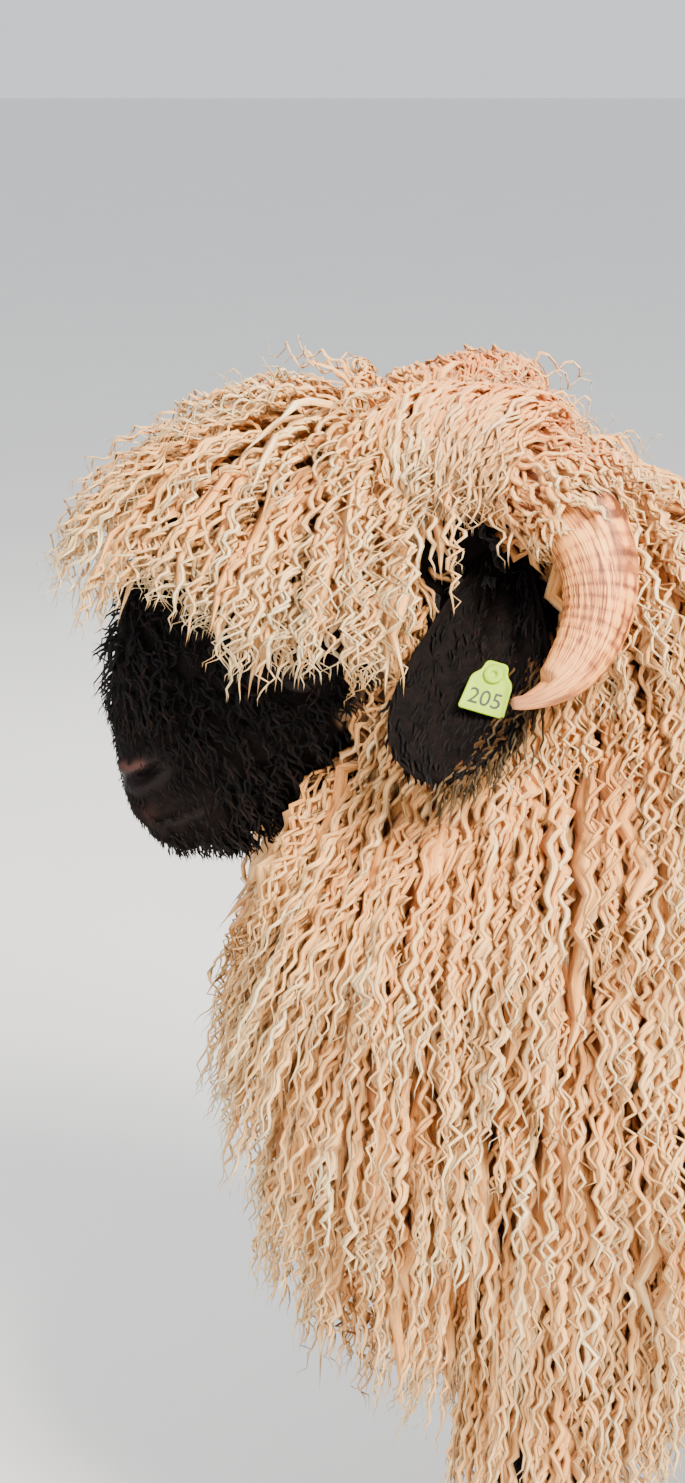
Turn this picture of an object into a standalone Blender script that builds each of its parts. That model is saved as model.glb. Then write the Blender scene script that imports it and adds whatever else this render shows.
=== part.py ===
"""A life-size Valais Blacknose sheep, standing, with its long curly fleece, forelock, horns and an ear tag.

Metres, +Z up. The sheep faces -X and its left side is -Y. Inside this script x runs back from the front
of the breast, and the empty named sheep moves everything so that the origin lies on the floor under the
middle.
"""

import math

import bmesh
import bpy
import numpy as np
from mathutils import Matrix, Vector
from mathutils.bvhtree import BVHTree

# Where the middle of the whole animal lies behind the front of the breast.
BREAST_TO_MIDDLE = 0.418

# The gaps that keep neighbouring pieces apart.
GAP = 0.0003
LOCK_GAP = 0.0008

# How much farther than its faces a sharp edge may move when a piece is swollen.
SHARPEST = 2.5

# How far the coat stands off the skin, and how much of that is the solid core under the locks.
CORE_DEPTH = 0.036
NECK_CORE_DEPTH = 0.026
FACE_WOOL = 0.005
LEG_WOOL = 0.009
TAIL_WOOL = 0.010

# Torso stations of the skin: x, height of the back, height of the belly, half width.
TORSO = (
    (0.008, 0.590, 0.530, 0.030),
    (0.022, 0.650, 0.462, 0.080),
    (0.080, 0.735, 0.412, 0.120),
    (0.200, 0.785, 0.402, 0.142),
    (0.360, 0.772, 0.402, 0.155),
    (0.520, 0.765, 0.400, 0.165),
    (0.660, 0.768, 0.418, 0.162),
    (0.780, 0.770, 0.452, 0.148),
    (0.858, 0.748, 0.520, 0.114),
    (0.892, 0.705, 0.600, 0.052),
)

# Neck stations: crest x and z, throat x and z, half width.
NECK = (
    (0.262, 0.745, 0.040, 0.520, 0.092),
    (0.216, 0.808, 0.006, 0.590, 0.098),
    (0.166, 0.845, 0.006, 0.662, 0.088),
    (0.122, 0.870, 0.022, 0.728, 0.076),
    (0.076, 0.882, 0.034, 0.790, 0.056),
)

# Head stations from the poll to the lips: upper profile x and z, lower profile x and z, half width.
HEAD = (
    (0.108, 0.866, 0.114, 0.842, 0.018),
    (0.090, 0.895, 0.104, 0.800, 0.052),
    (0.040, 0.909, 0.072, 0.758, 0.062),
    (-0.025, 0.903, 0.036, 0.724, 0.064),
    (-0.080, 0.878, 0.004, 0.702, 0.063),
    (-0.118, 0.838, -0.018, 0.682, 0.053),
    (-0.138, 0.790, -0.038, 0.665, 0.044),
    (-0.1445, 0.746, -0.053, 0.654, 0.039),
    (-0.1435, 0.714, -0.068, 0.646, 0.038),
    (-0.1400, 0.692, -0.086, 0.643, 0.036),
    (-0.1320, 0.672, -0.106, 0.646, 0.027),
    (-0.1250, 0.662, -0.116, 0.653, 0.011),
)

# Leg stations from the top down: height, x of the front, x of the back, half width.
FRONT_LEG = (
    (0.500, 0.080, 0.230, 0.050),
    (0.400, 0.098, 0.190, 0.036),
    (0.300, 0.108, 0.162, 0.025),
    (0.255, 0.104, 0.162, 0.027),
    (0.210, 0.112, 0.156, 0.021),
    (0.120, 0.114, 0.152, 0.018),
    (0.085, 0.108, 0.160, 0.023),
    (0.0403, 0.102, 0.152, 0.025),
)
HIND_LEG = (
    (0.540, 0.660, 0.850, 0.060),
    (0.430, 0.690, 0.848, 0.044),
    (0.340, 0.752, 0.848, 0.030),
    (0.275, 0.790, 0.862, 0.026),
    (0.235, 0.800, 0.856, 0.023),
    (0.130, 0.798, 0.838, 0.019),
    (0.088, 0.790, 0.842, 0.024),
    (0.0403, 0.782, 0.834, 0.026),
)
LEG_WOOL_LOW, LEG_WOOL_HIGH = 0.150, 0.400
FRONT_LEG_SPREAD = 0.098
HIND_LEG_SPREAD = 0.104

# Tail stations from the root down: x of the front, x of the back, height, half width.
TAIL = (
    (0.850, 0.905, 0.735, 0.026),
    (0.888, 0.932, 0.690, 0.027),
    (0.908, 0.946, 0.600, 0.024),
    (0.914, 0.946, 0.480, 0.020),
    (0.916, 0.940, 0.380, 0.013),
    (0.920, 0.934, 0.340, 0.006),
)

# Each foot has two claws.
CLAW_LENGTH = 0.058
CLAW_WIDTH = 0.023
CLAW_HEIGHT = 0.040
CLAW_SPLIT = 0.003
CLAW_AHEAD = 0.012
CLAW_TOE_PINCH = 0.45

# Eyes: a ball in a socket, with a lid ring round the opening.
EYE_X, EYE_SIDE, EYE_Z = -0.0235, 0.0535, 0.775
EYE_RADIUS = 0.0155
LID_RING_RADIUS = 0.0150
LID_THICKNESS = 0.0042
LID_SIDE = 0.0610
LID_SQUASH = 0.72
LID_TILT = math.radians(-18)

# Horns: a spiral round a sideways axis, wider apart towards the tip.
HORN_AXIS_X, HORN_AXIS_Z = 0.085, 0.838
HORN_START_ANGLE, HORN_TURN = math.radians(152), math.radians(236)
HORN_SPIRAL_START, HORN_SPIRAL_END = 0.070, 0.050
HORN_ROOT_SIDE, HORN_TIP_SIDE = 0.026, 0.186
HORN_ROOT_RADIUS = 0.0265
HORN_FLATNESS = 0.84
HORN_RINGS, HORN_SIDES = 18, 8
HORN_RIDGE = 0.035

# Ears: a rolled cup at the root that opens into a leaf.
EAR_ROOT = Vector((0.102, 0.052, 0.842))
EAR_TIP = Vector((0.066, 0.158, 0.732))
EAR_HALF_WIDTH = 0.044
EAR_THICKNESS = 0.0045
EAR_ROOT_ROLL, EAR_TIP_ROLL = math.radians(118), math.radians(22)
EAR_LOOKS = Vector((-0.30, 1.0, 0.10))
EAR_ROWS, EAR_COLUMNS = 8, 7
BARE_DEPTH, BARE_HALF_HEIGHT = 0.034, 0.095

# The ear tag hangs in the left ear: a plate in front and a stud behind, whose pin goes through the ear.
TAG_WIDTH, TAG_HEIGHT, TAG_THICKNESS = 0.029, 0.024, 0.0018
TAG_NECK_WIDTH, TAG_NECK_HEIGHT = 0.013, 0.011
TAG_ALONG_EAR, TAG_ACROSS_EAR, TAG_STAND_OFF = 0.56, -0.22, 0.0110
TAG_TURN = math.radians(-14)
PIN_RADIUS, PIN_HOLE_RADIUS = 0.0021, 0.0026
BUTTON_RADIUS, BUTTON_THICKNESS, BUTTON_STAND_OFF = 0.0085, 0.0025, 0.0060

# Nostrils and mouth.
NOSTRIL_X, NOSTRIL_SIDE, NOSTRIL_Z = -0.1335, 0.0285, 0.706
NOSTRIL_SIZE = Vector((0.0120, 0.0085, 0.0042))
NOSTRIL_SLANT = math.radians(42)
MOUTH_CORNER_X, MOUTH_CORNER_Z = -0.082, 0.680
MOUTH_FRONT_X, MOUTH_FRONT_Z = -0.142, 0.6620
MOUTH_SAG = 0.0030
MOUTH_GAP = 0.0016
LIP_RADIUS, LIP_OFFSET = 0.0050, 0.0050
LIP_HALF_WIDTH, LIP_FRONT_X = 0.0325, -0.1225

# Shape of one lock of wool: places of its rings along it, with the share of its full width there.
# It ends in a tip.
LOCK_SINK = 0.014
SHORT_LOCK = ((0.0, 0.75), (0.36, 1.0), (0.76, 0.80))
LONG_LOCK = ((0.0, 0.70), (0.28, 1.0), (0.58, 0.95), (0.84, 0.62))

# How close locks grow on each part, and their length, width and thickness.
TORSO_SPACING, TORSO_LOCK = 0.093, (0.170, 0.100, 0.044)
BELLY_LOCK = (0.080, 0.080, 0.044)
NECK_SPACING, NECK_LOCK = 0.082, (0.145, 0.090, 0.042)
BIB_SPACING, BIB_BACK, BIB_TOP = 0.058, 0.030, 0.680
FORELOCK_SPACING, FORELOCK_LOCK = 0.034, (0.155, 0.070, 0.038)
TAIL_SPACING, TAIL_LOCK = 0.066, (0.125, 0.060, 0.036)
LEG_SPACING, LEG_LOCK = 0.080, (0.100, 0.062, 0.034)

# Where the forelock grows: round this middle of the crown, within this length and width, above this height.
MOP_MIDDLE = (0.030, 0.0, 0.90)
MOP_LENGTH, MOP_WIDTH, MOP_LOW = 0.122, 0.080, 0.842

# Locks that climb from the crown over each horn and fall down its outer side: their places along the horn,
# their roots, how far they stand off the horn's middle, and the angles round it that they follow.
HORN_COVER = (0.10, 0.245)
HORN_COVER_ROOT_SIDE, HORN_COVER_ROOT_HEIGHT = 0.012, 0.895
HORN_COVER_OFF, HORN_COVER_SWEEP = 0.040, (math.radians(-35), math.radians(125))
HORN_COVER_WIDTH, HORN_COVER_THICKNESS = 0.066, 0.024

# Locks along the spine, from the withers to the rump, and along the crest of the neck.
SPINE_ROOTS, SPINE_LOCK = np.linspace(0.22, 0.80, 8), (0.125, 0.092, 0.040)
CREST_ROOTS, CREST_LOCK = np.linspace(0.112, 0.225, 4), (0.120, 0.080, 0.040)

FLEECE, BLACK_WOOL, HORN, HOOF, EYE, TAG = "fleece", "black_wool", "horn", "hoof", "eye", "tag"
FINISHES = {
    FLEECE: ((0.78, 0.60, 0.42), 0.90),
    BLACK_WOOL: ((0.020, 0.017, 0.017), 0.80),
    HORN: ((0.72, 0.48, 0.33), 0.55),
    HOOF: ((0.050, 0.042, 0.038), 0.50),
    EYE: ((0.030, 0.018, 0.010), 0.08),
    TAG: ((0.42, 0.80, 0.12), 0.45),
}

DOWN = Vector((0, 0, -1))
SIDES = (("left", -1), ("right", 1))

# Seeds of the random draws, one for each coat.
TORSO_SEED, NECK_SEED, FORELOCK_SEED, TAIL_SEED, LEG_SEED = 11, 23, 49, 71, 41


def clear_scene():
    for obj in list(bpy.data.objects):
        bpy.data.objects.remove(obj)


def finish_of(name):
    """The named material, made once."""
    material = bpy.data.materials.get(name)
    if material:
        return material
    colour, roughness = FINISHES[name]
    material = bpy.data.materials.new(name)
    material.use_nodes = True
    shader = material.node_tree.nodes["Principled BSDF"]
    shader.inputs["Base Color"].default_value = (*colour, 1.0)
    shader.inputs["Roughness"].default_value = roughness
    shader.inputs["Metallic"].default_value = 0.0
    return material


def add_mesh(name, points, faces):
    """A new object of these points and faces, with its faces turned outwards."""
    mesh = bpy.data.meshes.new(name)
    mesh.from_pydata([tuple(p) for p in points], [], faces)
    obj = bpy.data.objects.new(name, mesh)
    bpy.context.scene.collection.objects.link(obj)
    face_out(obj)
    return obj


def face_out(obj):
    bm = bmesh.new()
    bm.from_mesh(obj.data)
    bmesh.ops.remove_doubles(bm, verts=bm.verts, dist=1e-6)
    bmesh.ops.recalc_face_normals(bm, faces=bm.faces)
    bmesh.ops.triangulate(bm, faces=bm.faces)
    bm.to_mesh(obj.data)
    bm.free()


def split_to_triangles(mesh):
    """Fixes how bent faces fold, so that a copy of the mesh folds alike."""
    bm = bmesh.new()
    bm.from_mesh(mesh)
    bmesh.ops.triangulate(bm, faces=bm.faces)
    bm.to_mesh(mesh)
    bm.free()


def through(stations, at):
    """Values at the given places on smooth curves through the stations, whose first column is the place."""
    table = np.asarray(stations, float)
    place, values = table[:, 0], table[:, 1:]
    slopes = np.gradient(values, place, axis=0)
    i = np.clip(np.searchsorted(place, at) - 1, 0, len(place) - 2)
    step = (place[i + 1] - place[i])[:, None]
    t = (np.asarray(at) - place[i])[:, None] / step
    rise = (2 * t**3 - 3 * t**2 + 1) * values[i] + (3 * t**2 - 2 * t**3) * values[i + 1]
    return rise + step * ((t**3 - 2 * t**2 + t) * slopes[i] + (t**3 - t**2) * slopes[i + 1])


class Profile:
    """A tapering body part drawn by its upper and lower profile lines and its half width.

    Each row holds upper x and z, lower x and z, and half width. A cut across it is an ellipse.
    """

    def __init__(self, rows, side=0.0):
        rows = np.asarray(rows, float)
        middle = (rows[:, 0:2] + rows[:, 2:4]) / 2
        run = np.concatenate([[0], np.cumsum(np.linalg.norm(np.diff(middle, axis=0), axis=1))])
        self.stations = np.column_stack([run / run[-1], rows])
        self.side = side

    def rings(self, shares):
        """Centres, up vectors and half widths of the cuts at these shares of the length."""
        values = through(self.stations, np.asarray(shares, float))
        upper, lower, half_width = values[:, 0:2], values[:, 2:4], values[:, 4]
        centre, up = (upper + lower) / 2, (upper - lower) / 2
        level = np.full(len(centre), self.side)
        centres = np.column_stack([centre[:, 0], level, centre[:, 1]])
        ups = np.column_stack([up[:, 0], 0 * level, up[:, 1]])
        return centres, ups, half_width

    def point(self, share, angle):
        """The point at this share of the length, at this angle from the upper line towards +Y."""
        centre, up, half_width = (v[0] for v in self.rings([share]))
        return Vector(centre + up * math.cos(angle) + np.array([0, half_width * math.sin(angle), 0]))

    def build(self, name, rings, sides, flat_end=False):
        """A closed mesh of that many rings, ended by a point or by a flat."""
        shares = np.linspace(0, 1, rings)
        centres, ups, half_widths = self.rings(shares)
        angles = np.arange(sides) * 2 * math.pi / sides
        across = np.column_stack([0 * angles, np.sin(angles), 0 * angles])
        points = (
            centres[:, None]
            + ups[:, None] * np.cos(angles)[None, :, None]
            + half_widths[:, None, None] * across[None]
        ).reshape(-1, 3)
        faces = []
        for start in range(0, (rings - 1) * sides, sides):
            for k in range(sides):
                a, b = start + k, start + (k + 1) % sides
                faces.append((a, b, b + sides, a + sides))
        first, last = list(range(sides)), list(range((rings - 1) * sides, rings * sides))
        points = [Vector(p) for p in points]
        for loop, closing in ((first, True), (last, not flat_end)):
            if closing:
                points.append(sum((points[k] for k in loop), Vector()) / sides)
                tip = len(points) - 1
                faces += [(loop[k], loop[(k + 1) % sides], tip) for k in range(sides)]
            else:
                faces.append(tuple(loop))
        return add_mesh(name, points, faces)


def swell(obj, depth):
    """Moves every vertex out along its normal, farther at sharp edges so that the faces move by the depth."""
    bm = bmesh.new()
    bm.from_mesh(obj.data)
    bm.normal_update()
    shifts = [v.normal * depth * min(v.calc_shell_factor(), SHARPEST) for v in bm.verts]
    for vertex, shift in zip(bm.verts, shifts):
        vertex.co += shift
    bm.to_mesh(obj.data)
    bm.free()
    return obj


def apply_modifiers(obj):
    bpy.context.view_layer.update()
    graph = bpy.context.evaluated_depsgraph_get()
    made = bpy.data.meshes.new_from_object(obj.evaluated_get(graph))
    split_to_triangles(made)
    obj.modifiers.clear()
    obj.data = made


def boolean(obj, others, operation):
    """Joins the other objects to obj, or cuts them out of it, and removes them."""
    if not others:
        return obj
    group = bpy.data.collections.new(obj.name + "_pieces")
    bpy.context.scene.collection.children.link(group)
    for other in others:
        bpy.context.scene.collection.objects.unlink(other)
        group.objects.link(other)
    modifier = obj.modifiers.new("Boolean", "BOOLEAN")
    modifier.operation = operation
    modifier.solver = "MANIFOLD"
    modifier.operand_type = "COLLECTION"
    modifier.collection = group
    apply_modifiers(obj)
    for other in list(group.objects):
        bpy.data.objects.remove(other)
    bpy.data.collections.remove(group)
    return obj


# The simple shapes that each node is fused from, for keeping its neighbours clear.
shapes = {}


def remember(node, *pieces):
    """Keeps a copy of each simple shape under the node's name."""
    shapes.setdefault(node, []).extend(piece.data.copy() for piece in pieces)


def cut_clear(obj, nodes, gap):
    """Cuts obj back from the named nodes by the gap."""
    rooms = []
    for mesh in (mesh for node in nodes for mesh in shapes[node]):
        room = bpy.data.objects.new("room", mesh.copy())
        bpy.context.scene.collection.objects.link(room)
        rooms.append(swell(room, gap))
    return boolean(obj, rooms, "DIFFERENCE")


def keep_largest(obj):
    """Keeps only the closed surface with the largest box."""
    bm = bmesh.new()
    bm.from_mesh(obj.data)
    bm.verts.ensure_lookup_table()
    seen, shells = set(), []
    for start in bm.verts:
        if start.index in seen:
            continue
        stack, shell = [start], []
        seen.add(start.index)
        while stack:
            vertex = stack.pop()
            shell.append(vertex)
            for edge in vertex.link_edges:
                other = edge.other_vert(vertex)
                if other.index not in seen:
                    seen.add(other.index)
                    stack.append(other)
        shells.append(shell)

    def box(shell):
        points = np.array([v.co for v in shell])
        return float(np.prod(points.max(0) - points.min(0) + 1e-6))

    largest = max(shells, key=box)
    loose = [v for shell in shells if shell is not largest for v in shell]
    bmesh.ops.delete(bm, geom=loose, context="VERTS")
    bm.to_mesh(obj.data)
    bm.free()
    return obj


def smooth(obj):
    obj.data.shade_smooth()
    obj.data.set_sharp_from_angle(angle=math.radians(50))


class Comb:
    """Lays locks over a node's core. Each leaves it, bends into its lie, sinks with gravity and stays outside."""

    def __init__(self, node, seed, obstacles=()):
        self.core = shapes[node][0]
        self.draw = np.random.default_rng(seed)
        self.locks = []
        solid = bmesh.new()
        for name in (node, *obstacles):
            solid.from_mesh(shapes[name][0])
        self.tree = BVHTree.FromBMesh(solid)
        solid.free()

    def vary(self, spread):
        return 1 + self.draw.uniform(-spread, spread)

    def roots(self, spacing, grows):
        """Random places on the core, no two nearer than the spacing, where grows(place, normal) is true."""
        corners = np.array([[self.core.vertices[k].co for k in face.vertices] for face in self.core.polygons])
        sides = corners[:, 1:] - corners[:, :1]
        crosses = np.cross(sides[:, 0], sides[:, 1])
        areas = np.linalg.norm(crosses, axis=1)
        tries = int(areas.sum() / 2 / spacing**2 * 60)
        chosen = self.draw.choice(len(areas), tries, p=areas / areas.sum())
        u, v = self.draw.random((2, tries))
        u, v = np.where(u + v > 1, 1 - u, u), np.where(u + v > 1, 1 - v, v)
        places = corners[chosen, 0] + sides[chosen, 0] * u[:, None] + sides[chosen, 1] * v[:, None]
        kept = np.empty((0, 3))
        for place, cross in zip(places, crosses[chosen]):
            crowded = len(kept) and np.linalg.norm(kept - place, axis=1).min() < spacing
            if not crowded and grows(Vector(place), Vector(cross).normalized()):
                kept = np.vstack([kept, place])
                yield Vector(place), Vector(cross).normalized()

    def path(self, root, lie, length, lift, reach, weight):
        """Points along the middle of a lock, and the outward direction at each."""
        near, normal, _, _ = self.tree.find_nearest(root)
        steps = 16
        stride = length / steps
        points, outs = [near - normal * LOCK_SINK], [normal.copy()]
        point = near + normal * reach * 0.35
        heading = (normal * lift + lie).normalized()
        for step in range(steps):
            heading = (heading + DOWN * weight * stride).normalized()
            point = point + heading * stride
            near, out, _, _ = self.tree.find_nearest(point)
            wanted = reach * (0.40 + 0.60 * (step + 1) / steps)
            if (point - near).dot(out) < wanted:
                point = near + out * wanted
                heading = (heading - out * min(0.0, heading.dot(out))).normalized()
            points.append(point.copy())
            outs.append(out.copy())
        return points, outs

    def add(self, root, lie, size, rings=SHORT_LOCK, lift=0.6, reach=0.030, weight=14.0, wave=0.10):
        """One lock of this length, width and thickness that grows from the root."""
        length, width, thickness = size
        points, outs = self.path(root, lie, length, lift, reach, weight)
        self.lay(points, outs, width, thickness, rings, wave)

    def lay(self, points, outs, width, thickness, rings, wave=0.0):
        """One lock along the points, with four sides, wider than thick, that swings from side to side."""
        last = len(points) - 1
        phase = self.draw.uniform(0, 2 * math.pi)
        corners, faces = [], []
        for share, full in rings:
            at = round(share * last)
            along = (points[min(at + 1, last)] - points[max(at - 1, 0)]).normalized()
            across = along.cross(outs[at]).normalized()
            out = across.cross(along) * thickness / 2 * full
            swing = across * width * wave * math.sin(phase + 9 * share) * (at > 0)
            half = across * width / 2 * full
            corners += [points[at] + swing + shift for shift in (half, out, -half, -out)]
        corners.append(points[last])
        for start in range(0, 4 * (len(rings) - 1), 4):
            for k in range(4):
                a, b = start + k, start + (k + 1) % 4
                faces.append((a, b, b + 4, a + 4))
        base = len(corners) - 5
        faces += [(base + k, base + (k + 1) % 4, base + 4) for k in range(4)]
        faces.append((3, 2, 1, 0))
        self.locks.append(add_mesh("lock", corners, faces))

    def fuse(self, core, clear_of):
        """Joins the locks to the core, first cut clear of the named nodes."""
        remember(core.name, *self.locks)
        bundle = boolean(self.locks[0], self.locks[1:], "UNION")
        cut_clear(bundle, clear_of, LOCK_GAP)
        boolean(core, [bundle], "UNION")
        return keep_largest(core)


def torso_core():
    rows = [(x, top, x, bottom, half) for x, top, bottom, half in TORSO]
    core = swell(Profile(rows).build("torso", 15, 18), CORE_DEPTH)
    remember("torso", core)
    return core


def neck_core(clear_of):
    core = swell(Profile(NECK).build("neck", 7, 16), NECK_CORE_DEPTH)
    remember("neck", core)
    return keep_largest(cut_clear(core, clear_of, GAP))


def ball(name, centre, sizes, turn=None, segments=10, rings=7):
    """An ellipsoid of these half sizes."""
    bm = bmesh.new()
    bmesh.ops.create_uvsphere(bm, u_segments=segments, v_segments=rings, radius=1.0)
    bmesh.ops.scale(bm, vec=sizes, verts=bm.verts)
    if turn is not None:
        bmesh.ops.transform(bm, matrix=turn.to_4x4(), verts=bm.verts)
    bmesh.ops.translate(bm, vec=centre, verts=bm.verts)
    mesh = bpy.data.meshes.new(name)
    bm.to_mesh(mesh)
    bm.free()
    obj = bpy.data.objects.new(name, mesh)
    bpy.context.scene.collection.objects.link(obj)
    return obj


def tube(name, points, radius, closed=False, resolution=1):
    """A round tube along the points, as a closed mesh."""
    curve = bpy.data.curves.new(name, "CURVE")
    curve.dimensions = "3D"
    curve.bevel_depth = radius
    curve.bevel_resolution = resolution
    curve.use_fill_caps = True
    spline = curve.splines.new("POLY")
    spline.points.add(len(points) - 1)
    for spot, point in zip(spline.points, points):
        spot.co = (*point, 1.0)
    spline.use_cyclic_u = closed
    line = bpy.data.objects.new(name, curve)
    bpy.context.scene.collection.objects.link(line)
    bpy.context.view_layer.update()
    graph = bpy.context.evaluated_depsgraph_get()
    mesh = bpy.data.meshes.new_from_object(line.evaluated_get(graph))
    obj = bpy.data.objects.new(name + "_mesh", mesh)
    bpy.data.objects.remove(line)
    bpy.context.scene.collection.objects.link(obj)
    face_out(obj)
    return obj


def lid_ring(side):
    """A flattened ring round the eye's opening, tilted with the face."""
    spots = []
    for angle in np.arange(14) * 2 * math.pi / 14:
        along, up = LID_RING_RADIUS * math.cos(angle), LID_RING_RADIUS * LID_SQUASH * math.sin(angle)
        x = EYE_X + along * math.cos(LID_TILT) - up * math.sin(LID_TILT)
        z = EYE_Z + along * math.sin(LID_TILT) + up * math.cos(LID_TILT)
        spots.append((x, side * LID_SIDE, z))
    return tube("lid", spots, LID_THICKNESS, closed=True)


def lip_roll(offset):
    """A roll of lip from one corner of the mouth round the front to the other."""
    spots = []
    for angle in np.linspace(-math.pi / 2, math.pi / 2, 11):
        back = MOUTH_CORNER_X - LIP_FRONT_X
        x = MOUTH_CORNER_X - back * math.cos(angle)
        share = (x - MOUTH_CORNER_X) / (MOUTH_FRONT_X - MOUTH_CORNER_X)
        z = MOUTH_CORNER_Z + (MOUTH_FRONT_Z - MOUTH_CORNER_Z) * share - MOUTH_SAG * math.sin(math.pi * share)
        spots.append((x, LIP_HALF_WIDTH * math.sin(angle), z + offset * (0.4 + 0.6 * share)))
    return tube("lip", spots, LIP_RADIUS)


def mouth_slit():
    """A thin curved plate that parts the lips from one side to the other."""
    shares = np.linspace(0, 1.25, 9)
    xs = MOUTH_CORNER_X + (MOUTH_FRONT_X - MOUTH_CORNER_X) * shares
    zs = (
        MOUTH_CORNER_Z
        + (MOUTH_FRONT_Z - MOUTH_CORNER_Z) * shares
        - MOUTH_SAG * np.sin(math.pi * np.minimum(shares, 1))
    )
    half = MOUTH_GAP / 2 * np.minimum(1, 0.15 + 3 * shares)
    outline = [(x, z + h) for x, z, h in zip(xs, zs, half)]
    outline += [(x, z - h) for x, z, h in zip(xs[::-1], zs[::-1], half[::-1])]
    reach, count = 0.06, len(outline)
    points = [(x, side * reach, z) for side in (-1, 1) for x, z in outline]
    faces = [(k, (k + 1) % count, count + (k + 1) % count, count + k) for k in range(count)]
    faces += [tuple(range(count)), tuple(range(2 * count - 1, count - 1, -1))]
    return add_mesh("mouth_slit", points, faces)


def head_core():
    """The skull's outline with lids, lips, nostrils, the line of the mouth and the eye sockets."""
    core = swell(Profile(HEAD).build("head", 19, 18), FACE_WOOL)
    additions = [lip_roll(LIP_OFFSET), lip_roll(-LIP_OFFSET)]
    cutters = [mouth_slit()]
    for side in (-1, 1):
        additions.append(lid_ring(side))
        sockets = Vector((EYE_X, side * EYE_SIDE, EYE_Z))
        cutters.append(ball("socket", sockets, Vector([EYE_RADIUS + GAP] * 3)))
        turn = Matrix.Rotation(side * math.radians(30), 3, "Z") @ Matrix.Rotation(-NOSTRIL_SLANT, 3, "Y")
        centre = Vector((NOSTRIL_X, side * NOSTRIL_SIDE, NOSTRIL_Z))
        cutters.append(ball("nostril", centre, NOSTRIL_SIZE, turn, segments=10, rings=6))
        wing = centre + Vector((-0.001, side * 0.001, 0.0045))
        additions.append(ball("nostril_wing", wing, NOSTRIL_SIZE * 0.95, turn, segments=8, rings=5))
    remember("head", core, *additions)
    boolean(core, additions, "UNION")
    boolean(core, cutters, "DIFFERENCE")
    return keep_largest(core)


def horn_line(share, side):
    """Centre of the horn at this share of its length."""
    angle = HORN_START_ANGLE - HORN_TURN * share
    radius = HORN_SPIRAL_START + (HORN_SPIRAL_END - HORN_SPIRAL_START) * share
    out = HORN_ROOT_SIDE + (HORN_TIP_SIDE - HORN_ROOT_SIDE) * max(share, 0) ** 0.85
    x = HORN_AXIS_X + radius * math.cos(angle)
    z = HORN_AXIS_Z + radius * math.sin(angle)
    return Vector((x, side * out, z))


def horn_frame(share, side):
    """The horn's own directions there: along it, away from the spiral's axis, and square to both."""
    centre = horn_line(share, side)
    along = (horn_line(share + 0.01, side) - horn_line(share - 0.01, side)).normalized()
    across = centre - Vector((HORN_AXIS_X, centre.y, HORN_AXIS_Z))
    across = (across - along * across.dot(along)).normalized()
    return along, across, along.cross(across)


def horn(name, side):
    """A tapering spiral with growth rings as ridges."""
    points, faces = [], []
    for ring in range(HORN_RINGS):
        share = ring / (HORN_RINGS - 1) * 0.985
        centre = horn_line(share, side)
        along, across, deep = horn_frame(share, side)
        radius = HORN_ROOT_RADIUS * (1 - share**2.1) ** 0.62 + 0.0016
        radius *= 1 + HORN_RIDGE * (1 if ring % 2 else -1) * (1 - share)
        for k in range(HORN_SIDES):
            angle = 2 * math.pi * k / HORN_SIDES
            bulge = 1 + 0.10 * math.cos(angle)
            offset = across * math.cos(angle) * bulge + deep * math.sin(angle) * HORN_FLATNESS
            points.append(centre + offset * radius)
    for ring in range(HORN_RINGS - 1):
        for k in range(HORN_SIDES):
            a, b = ring * HORN_SIDES + k, ring * HORN_SIDES + (k + 1) % HORN_SIDES
            faces.append((a, b, b + HORN_SIDES, a + HORN_SIDES))
    faces.append(tuple(range(HORN_SIDES)))
    points.append(horn_line(1.0, side))
    base = (HORN_RINGS - 1) * HORN_SIDES
    faces += [(base + k, base + (k + 1) % HORN_SIDES, len(points) - 1) for k in range(HORN_SIDES)]
    obj = add_mesh(name, points, faces)
    remember(name, obj)
    return keep_largest(cut_clear(obj, ["head"], GAP))


def ear_frame(side):
    """Root, unit axis to the tip, unit width direction, and the direction the cup looks in."""
    root = Vector((EAR_ROOT.x, side * EAR_ROOT.y, EAR_ROOT.z))
    tip = Vector((EAR_TIP.x, side * EAR_TIP.y, EAR_TIP.z))
    axis = (tip - root).normalized()
    looks = Vector((EAR_LOOKS.x, side * EAR_LOOKS.y, EAR_LOOKS.z))
    looks = (looks - axis * looks.dot(axis)).normalized()
    return root, (tip - root).length, axis, axis.cross(looks).normalized(), looks


def ear_point(frame, share, across):
    """A point of the ear's middle sheet: share runs from the root to the tip, across from edge to edge."""
    root, length, axis, wide, looks = frame
    half = EAR_HALF_WIDTH * (0.36 + 0.64 * math.sin(math.pi * min(1, share * 1.25 + 0.06) / 2))
    half *= max(0.0, 1 - max(0.0, (share - 0.42) / 0.58) ** 2.4) ** 0.5 + 0.06
    roll = EAR_TIP_ROLL + (EAR_ROOT_ROLL - EAR_TIP_ROLL) * (1 - share) ** 2.2
    radius = half / roll
    angle = roll * across
    sheet = wide * radius * math.sin(angle) + looks * radius * (1 - math.cos(angle))
    return root + axis * length * share + sheet


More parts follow.
